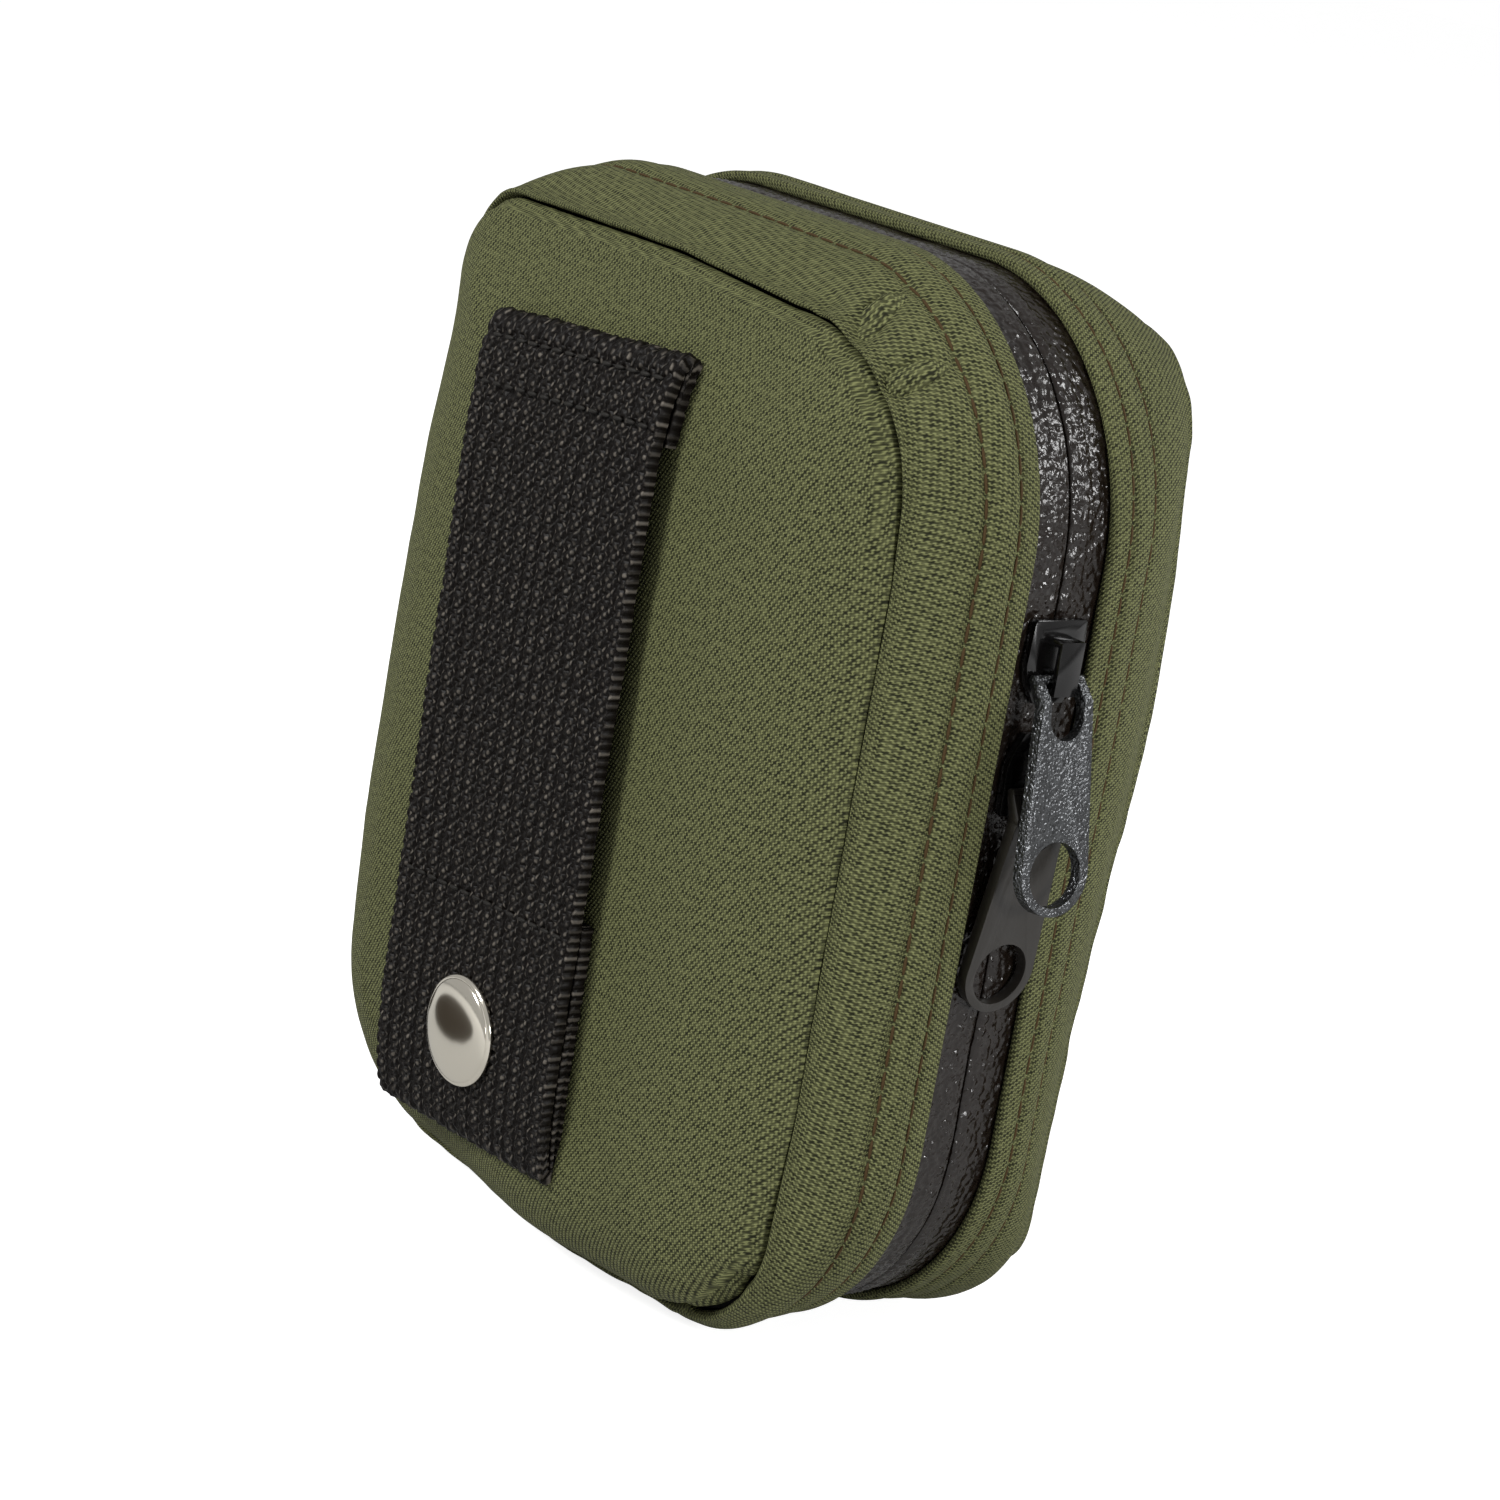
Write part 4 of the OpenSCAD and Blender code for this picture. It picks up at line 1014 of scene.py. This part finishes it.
rounded("upper_slider", "upper_slider_body", black_enamel, 0.3)
rounded("lower_slider", "lower_slider_body", black_enamel, 0.3)
rounded("upper_pull", "upper_pull_body", enamel, 0.25)
rounded("lower_pull", "lower_pull_body", smooth_enamel, 0.25)
rounded("tweezers", "back_half", steel, 0.12, 2)
rounded("scissors_fixed_blade", "back_half", steel, 0.3)
rounded("scissors_moving_blade", "scissors_blade", steel, 0.3)
rounded("scissors_rivet", "back_half", nickel, 0.15, 2)

# %% [markdown]
# ## Inside
# Not seen in the closed case, but the zip opens, so the inside is furnished the way such kits are: a grey
# lining, an organiser page with elastics, two gauze rolls, wrapped dressings, and a net pocket in the lid.

# %% linings and bindings
panel("back_lining_cloth", inset(BACK, 1.4), BACK_Y, BACK_CROWN, BACK_POWER, 1, back_marks, "back_half",
                0.5, 1.32, lining, 0.6)
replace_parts(bpy.data.objects["back_lining_cloth"], "back_lining")
panel("front_lining_cloth", inset(FRONT, 1.4), FRONT_Y, FRONT_CROWN, FRONT_POWER, -1, [], "front_half",
                0.5, 1.32, lining, 0.6)
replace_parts(bpy.data.objects["front_lining_cloth"], "front_lining")


def binding(name, seam, seam_y, sign, body, node):
    rows = [(seam_y - 2.1, 1.55), (seam_y - 3.2, 1.45), (seam_y - 4.4, 1.6), (seam_y - 4.5, 2.1),
            (seam_y - 4.3, 2.5), (seam_y - 3.2, 2.55), (seam_y - 2.2, 2.5), (seam_y - 2.0, 2.0)]
    p = np.array([ring(inset(seam, e), y) for y, e in rows])
    n = normals(p, True)
    p = p + n * (0.12 * noise(p, 4, 31))[..., None]
    p[..., 1] *= sign
    u = np.tile(along, (len(rows), 1))
    v = np.tile(np.arange(len(rows))[:, None] * 1.0, (1, len(along)))
    o = grid(name, p, u, v, wrap=True, loop=True)
    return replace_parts(finish_piece(o, body, material=black_cloth), node)


binding("back_seam_tape", BACK, BACK_Y, 1, "back_half", "back_seam_binding")
binding("front_seam_tape", FRONT, FRONT_Y, -1, "front_half", "front_seam_binding")

# %% [markdown]
# Packets, pages and bands are closed cloth or paper shapes: a sealed flat rim round a puffed middle, with
# small creases that run in from the seals.

# %% packets, pages and rolls
def packet(name, x0, x1, y0, y1, z0, z1, body, node, cover, seal=3.0, seed=40, step=1.1, pinch=0.18):
    nx, nz = int((x1 - x0) / step), int((z1 - z0) / step)
    xs, zs = np.linspace(x0, x1, nx + 1), np.linspace(z0, z1, nz + 1)
    x, z = np.meshgrid(xs, zs, indexing="ij")
    edge = np.minimum(np.minimum(x - x0, x1 - x), np.minimum(z - z0, z1 - z))
    puff = np.clip((edge - seal) / (0.32 * (x1 - x0)), 0, 1)
    puff = np.sqrt(1 - (1 - puff) ** 2)
    mid, half = (y0 + y1) / 2, (y1 - y0) / 2
    flat = np.stack([x, np.full_like(x, mid), z], -1)
    crease = (0.35 * noise(flat, 7, seed) + 0.2 * noise(flat, 3, seed + 1)) * np.clip(half / 3, 0.12, 1)
    tooth = 0.05 * np.sign(np.sin(z * math.pi / 0.55)) * (edge < seal)
    top = 0.12 + (half - 0.35) * (pinch + (1 - pinch) * puff) * (edge > 0.6) + crease * np.clip(edge / 4, 0, 1) * 0.8
    low = 0.12 + (half - 0.35) * (pinch + (1 - pinch) * puff) * (edge > 0.6) - crease * np.clip(edge / 4, 0, 1) * 0.6
    up = flat + np.stack([0 * x, np.clip(top + tooth, 0.05, half), 0 * x], -1)
    dn = flat - np.stack([0 * x, np.clip(low, 0.05, half), 0 * x], -1)
    p = np.concatenate([up, dn[::-1]])
    u = np.concatenate([x, x[::-1]])
    v = np.concatenate([z, z[::-1]])
    o = grid(name, p, u, v, False, True, True)
    finish_piece(o, body, material=cover)
    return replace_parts(o, node)


F, B = "front_half", "back_half"
packet("dressing_pack", -14, 36, 14, 22.2, 22, 114, B, "dressing_packet", paper, 5, 41)
packet("blanket_pack", -38, 2, -22, -12, 14, 84, F, "rescue_blanket", foil, 3, 43)
packet("bandage_pack", 5, 41, -22, -12, 14, 84, F, "triangular_bandage", paper, 4, 45)
packet("compress_pack_1", -40, -2, -19, -13, 88, 125, F, "compress_packets", green, 3, 47)
packet("compress_pack_2", 2, 40, -19, -13, 88, 125, F, "compress_packets", green, 3, 49)
packet("plaster_strip_1", -36, -18, -11.7, -9.7, 20, 92, F, "plaster_strips", paper, 1.5, 51)
packet("plaster_strip_2", -16, 2, -11.7, -9.7, 20, 92, F, "plaster_strips", paper, 1.5, 53)
packet("wipe_sachet", 8, 40, -11.7, -9.7, 18, 62, F, "wipe_sachets", green, 3, 55)
packet("organiser_page", -17, 44, 12.4, 13.4, 14, 124, B, "organiser_panel", lining, 1.0, 57,
       pinch=0.7)


def roll(name, z0, z1, node, seed):
    """A gauze roll: the bandage's edge shows as a spiral at each end, and its side is soft and uneven."""
    t = np.linspace(0, 2 * math.pi, 120, endpoint=False)
    prof = [(r, z0 + 0.5 + 0.3 * math.cos(r * math.pi / 0.45)) for r in np.linspace(1.2, 10.9, 90)]
    prof += [(11.5, z0 + 0.25), (11.85, z0 + 1.0)]
    prof += [(11.9, z) for z in np.linspace(z0 + 2, z1 - 2, int(z1 - z0) // 2)]
    prof += [(11.85, z1 - 1.0), (11.5, z1 - 0.25)]
    prof += [(r, z1 - 0.5 - 0.3 * math.cos(r * math.pi / 0.45)) for r in np.linspace(10.9, 1.2, 90)]
    prof = np.array(prof)
    p = np.stack([prof[:, :1] * np.cos(t), prof[:, :1] * np.sin(t), np.repeat(prof[:, 1:], 120, 1)], -1)
    p = p + (np.array([-31, 10, 0]))
    soft = 0.14 * noise(p, 6, seed) + 0.08 * noise(p, 2.2, seed + 1) - 0.1
    out = p - np.array([-31, 10, 0])
    out[..., 2] = 0
    out /= np.maximum(np.linalg.norm(out, axis=-1, keepdims=True), 1e-6)
    p = p + out * (soft * (prof[:, :1] > 11))[..., None]
    u = np.tile(np.linspace(0, 75.4, 121), (len(prof), 1))
    far = np.r_[0, np.cumsum(np.hypot(*np.diff(prof, axis=0).T))]
    v = np.tile(far[:, None], (1, 121))
    o = grid(name, p, u, v, wrap=True, loop=True)
    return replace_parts(finish_piece(o, B, material=gauze), node)


roll("gauze_wide", 18, 84, "gauze_roll_wide", 61)
roll("gauze_narrow", 88, 120, "gauze_roll_narrow", 63)


def band(name, line, z0, z1, node, body=B, cover=None):
    """Ribbed elastic that follows a line in X and Y, 12 mm wide."""
    line = np.array(line, float)
    far = np.r_[0, np.cumsum(np.linalg.norm(np.diff(line, axis=0), axis=1))]
    s = np.arange(0, far[-1], 0.35)
    at = np.c_[np.interp(s, far, line[:, 0]), np.interp(s, far, line[:, 1])]
    zs = np.linspace(z0, z1, 33)
    p = np.stack([np.c_[at, np.full(len(s), z)] for z in zs])
    n = normals(p, False)
    rib = 0.09 * np.cos(2 * math.pi * (zs - z0) / 1.5)[:, None] + 0.05 * np.cos(2 * math.pi * s / 0.7)[None]
    out, inn = p + n * (0.26 + rib)[..., None], p - n * (0.26 + rib)[..., None]
    both = np.concatenate([out, inn[::-1]])
    u = np.tile(s, (66, 1))
    v = np.tile(np.r_[zs, zs[::-1]][:, None], (1, len(s)))
    o = grid(name, both, u, v, False, True, True)
    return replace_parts(finish_piece(o, body, material=cover or black_cloth), node)


def half_round(r):
    return [(-31 + r * math.cos(a), 10 + r * math.sin(a)) for a in np.radians(np.arange(180, 361, 4))]


band("roll_band_low", half_round(12.5), 44, 56, "roll_elastics")
band("roll_band_high", half_round(12.5), 100, 112, "roll_elastics")


def staple(x0, x1, y_in, y_out, r=1.6):
    """Line of a loop sewn at both ends, with rounded corners."""
    spots = [(x0, y_in)]
    for cx, a0, a1 in ((x0 + r, 180, 270), (x1 - r, 270, 360)):
        spots += [(cx + r * math.cos(a), y_out + r + r * math.sin(a)) for a in np.radians(np.linspace(a0, a1, 8))]
    return spots + [(x1, y_in)]


band("scissors_band", staple(-14.6, 18.6, 12.4, 6.6), 90, 102, "organiser_elastics")
band("tweezers_band", staple(35.4, 45.6, 12.4, 6.6), 84, 96, "organiser_elastics")

# %% [markdown]
# The lid's pocket is an open net of fine yarn under a bound edge, drawn as crossed yarns so that the packets
# show through it.

# %% net pocket
def yarns(name, lines, radius, body, cover, node):
    points, faces = [], []
    for line in lines:
        start = len(points)
        for k, at in enumerate(line):
            ahead = line[min(k + 1, len(line) - 1)] - line[max(k - 1, 0)]
            ahead = ahead / np.linalg.norm(ahead)
            side = np.cross(ahead, [0, 1.0, 0])
            side /= np.linalg.norm(side)
            up = np.cross(side, ahead)
            points += [at + radius * (side * math.cos(t) + up * math.sin(t)) for t in np.radians((45, 135, 225, 315))]
        for k in range(len(line) - 1):
            q = start + 4 * k
            faces += [[q + c, q + (c + 1) % 4, q + 4 + (c + 1) % 4, q + 4 + c] for c in range(4)]
        faces += [[start + c for c in range(4)], [start + 4 * (len(line) - 1) + c for c in range(4)]]
    o = mesh(name, points, faces)
    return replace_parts(finish_piece(o, body, material=cover), node)


pocket = path(inset(ZIP, 5))


def inside_span(z):
    xs = [a[0] + (b[0] - a[0]) * (z - a[1]) / (b[1] - a[1]) for a, b in zip(pocket, np.roll(pocket, -1, 0))
          if (a[1] - z) * (b[1] - z) < 0]
    return (min(xs), max(xs)) if len(xs) > 1 else None


def inside_height(x):
    zs = [a[1] + (b[1] - a[1]) * (x - a[0]) / (b[0] - a[0]) for a, b in zip(pocket, np.roll(pocket, -1, 0))
          if (a[0] - x) * (b[0] - x) < 0]
    return min(zs) if zs else None


net_lines = []
NET_PITCH, NET_Y, NET_OVER = 1.9, -8.9, 0.14   # yarn spacing, plane, and how far the yarns pass over each other
for k, z in enumerate(np.arange(6.5, 100, NET_PITCH)):
    span = inside_span(z)
    if span:
        x = np.arange(span[0], span[1], NET_PITCH / 2)
        phase = math.pi * x / NET_PITCH
        net_lines.append(np.c_[x, NET_Y + NET_OVER * np.cos(phase + math.pi * k), z + 0.25 * np.sin(phase)])
for k, x in enumerate(np.arange(-50, 50.1, NET_PITCH)):
    low = inside_height(x)
    if low is not None and low < 98:
        z = np.arange(low, 100.6, NET_PITCH / 2)
        phase = math.pi * z / NET_PITCH
        net_lines.append(np.c_[x + 0.2 * np.sin(phase), NET_Y - NET_OVER * np.cos(phase + math.pi * k), z])
yarns("pocket_net", net_lines, 0.13, F, net, "mesh_pocket")
span = inside_span(101)
packet("pocket_edge", span[0] + 0.2, span[1] - 0.2, -9.5, -8.3, 100.1, 107.1, F, "mesh_pocket_binding", black_cloth,
       0.6, 71, step=0.5, pinch=0.5)

# %% [markdown]
# The front's cross is a plain white appliqué, cut from cloth and edged with close satin stitches.

# %% cross patch
arm, half_arm, top = 18.0, 6.0, FRONT_Y + FRONT_CROWN
corner_line = [(half_arm, arm), (-half_arm, arm), (-half_arm, half_arm), (-arm, half_arm),
               (-arm, -half_arm), (-half_arm, -half_arm), (-half_arm, -arm), (half_arm, -arm),
               (half_arm, -half_arm), (arm, -half_arm), (arm, half_arm), (half_arm, half_arm)]
outline = []
for a, b in zip(corner_line, corner_line[1:] + corner_line[:1]):
    count = int(max(abs(b[0] - a[0]), abs(b[1] - a[1])) / 0.3)
    outline += [(a[0] + (b[0] - a[0]) * k / count, a[1] + (b[1] - a[1]) * k / count) for k in range(count)]
outline = np.array(outline)
rows = []
for share, high in ((0.0, 0.0), (0.0, 0.35), (0.18, 0.72), (0.6, 0.82), (1.1, 0.72), (1.5, 0.5)):
    q = outline.copy()
    for c in (0, 1):
        limit = np.abs(outline[:, 1 - c]) > 6.001
        wide = np.where(limit, 6.0, 18.0)
        q[:, c] = np.clip(outline[:, c], -(wide - share), wide - share)
        inner_corner = (np.abs(outline[:, 0]) <= 6.001) & (np.abs(outline[:, 1]) <= 6.001)
        q[inner_corner] = outline[inner_corner] * (6 - share) / 6
    s = np.arange(len(outline)) * 0.3
    stitch = 0.06 * np.cos(2 * math.pi * s / 0.6) * (0 < high)
    rows.append(np.c_[q[:, 0], -(top - 0.35 + high + stitch), q[:, 1] + 70.5])
p = np.array(rows)
u = np.tile(np.arange(len(outline) + 1) * 0.3, (6, 1))
v = np.tile(np.array([0, 0.4, 0.8, 1.2, 1.7, 2.1])[:, None], (1, len(outline) + 1))
cross = grid("cross_applique", p, u, v, wrap=True)
finish_piece(cross, F, material=patch)
cells, places = [], {}
xs = np.round(np.arange(-16.5, 16.51, 0.5), 3)
for x in xs:
    for z in xs:
        if (abs(x) <= 4.6 or abs(z) <= 4.6) and (abs(x) < 16.5 and abs(z) < 16.5):
            places[(x, z)] = len(places)
for (x, z), k in places.items():
    square = [places.get((round(x + a, 3), round(z + b, 3))) for a, b in ((0, 0), (0.5, 0), (0.5, 0.5), (0, 0.5))]
    if None not in square:
        cells.append(square)
spots = np.array([(x, 0, z) for x, z in places])
spots[:, 1] = -(top + 0.2 + 0.06 * noise(spots, 3, 77))
spots[:, 2] += 70.5
middle_cloth = mesh("cross_cloth", spots, cells, spots[np.array(cells).ravel()][:, [0, 2]])
thicken(middle_cloth, 0.4, (0, -1, 0))
finish_piece(middle_cloth, F, material=patch)
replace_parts(cross, "cross_patch")

# %% [markdown]
# ## Light, floor and camera
# A large soft box stands high on the camera's left, with weaker ones on its right and behind, in an even white
# room. The camera sees the pale floor and the room as white. Two dark ellipses lie on the floor; only mirror rays
# meet them, so the polished stud cap and the enamel have something dark to reflect.

# %% light
def white_for_camera(tree, shader_out, strength, colour=(1, 1, 1, 1)):
    """Camera, mirror and see-through rays find plain white; the other rays find the given shader."""
    w = Sheet(tree)
    ray = w.node("ShaderNodeLightPath").outputs
    seen = w.math("MAXIMUM", ray["Is Camera Ray"], ray["Is Transmission Ray"])
    seen = w.math("MAXIMUM", seen, w.math("MULTIPLY", ray["Is Glossy Ray"], 0.3))
    glow = w.node("ShaderNodeEmission") if shader_out.node.type != "BACKGROUND" else w.node("ShaderNodeBackground")
    glow.inputs[0].default_value, glow.inputs[1].default_value = colour, strength
    both = w.node("ShaderNodeMixShader")
    for socket, x in zip(both.inputs, (seen, shader_out, glow.outputs[0])):
        w.put(socket, x)
    return both.outputs[0]


world = bpy.data.worlds.new("white_room")
bpy.context.scene.world = world
world.use_nodes = True
room = world.node_tree.nodes["Background"]
room.inputs[0].default_value, room.inputs[1].default_value = (1, 1, 1, 1), 0.2
end = world.node_tree.nodes["World Output"].inputs[0]
world.node_tree.links.new(white_for_camera(world.node_tree, room.outputs[0], 1.0), end)

floor_mesh = bpy.data.meshes.new("floor")
floor_mesh.from_pydata([(-3, -3, -0.0006), (3, -3, -0.0006), (3, 3, -0.0006), (-3, 3, -0.0006)], [], [(0, 1, 2, 3)])
floor = bpy.data.objects.new("floor", floor_mesh)
bpy.context.collection.objects.link(floor)
pale = material("pale_floor", (0.62, 0.62, 0.62, 1), 0.9)
end = pale.node_tree.nodes["Material Output"].inputs[0]
shown = pale.node_tree.nodes["Principled BSDF"].outputs[0]
w = Sheet(pale.node_tree)
glow, both = w.node("ShaderNodeEmission"), w.node("ShaderNodeAddShader")
w.put(glow.inputs[1], w.math("MULTIPLY", w.node("ShaderNodeLightPath").outputs["Is Camera Ray"], 0.85))
w.put(both.inputs[0], shown)
w.put(both.inputs[1], glow.outputs[0])
w.put(end, both.outputs[0])
floor.data.materials.append(pale)


def soft_box(name, at, size, watts):
    light = bpy.data.lights.new(name, "AREA")
    light.shape, light.size, light.energy = "DISK", size, watts
    o = bpy.data.objects.new(name, light)
    bpy.context.collection.objects.link(o)
    o.location = at
    o.rotation_euler = (-(o.location - Vector((0, 0, 0.07)))).to_track_quat("-Z", "Y").to_euler()
    return o


soft_box("key", (0.25, 0.95, 0.8), 0.35, 13.0)
soft_box("side", (-1.05, 0.0, 0.4), 0.25, 6.5)
soft_box("behind", (-0.45, -0.62, 0.55), 0.3, 3.6)
turn = np.linspace(0, 2 * math.pi, 33)[:-1]
cards = []
for way, far, long, wide in ((0.70, 0.15, 0.085, 0.05), (-0.05, 0.14, 0.05, 0.02)):
    a, b = far + long * np.cos(turn), wide * np.sin(turn)
    cards.append(np.c_[0.009 + a * math.cos(way) - b * math.sin(way), 0.033 + a * math.sin(way) + b * math.cos(way),
                       np.full(32, 0.001)])
screen_mesh = bpy.data.meshes.new("screens")
screen_mesh.from_pydata(np.vstack(cards).tolist(), [], [list(range(32)), list(range(32, 64))])
screen = bpy.data.objects.new("screens", screen_mesh)
bpy.context.collection.objects.link(screen)
screen.visible_diffuse = screen.visible_shadow = False
screen.data.materials.append(material("dark_screen", srgb(48, 40, 30), 0.9))
screen.visible_camera = False

# %% camera
cam = bpy.data.cameras.new("camera")
cam.sensor_width, cam.lens, cam.clip_start, cam.clip_end = 36, 90.89, 0.01, 20
eye = bpy.data.objects.new("camera", cam)
bpy.context.collection.objects.link(eye)
right, down = (-0.5943219, -0.7871560, 0.1648242), (-0.3067704, 0.0324390, -0.9512306)
ahead = (0.7434201, -0.6159003, -0.2607554)
place = Matrix([[right[i], -down[i], -ahead[i], 0] for i in range(3)] + [[0, 0, 0, 1]])
camera_at = (-376.87, 310.62, 199.85)
place.translation = [(c + d) / 1000 for c, d in zip(camera_at, shift)]
eye.matrix_world = place
bpy.context.scene.camera = eye
bpy.context.scene.view_settings.view_transform = "Standard"
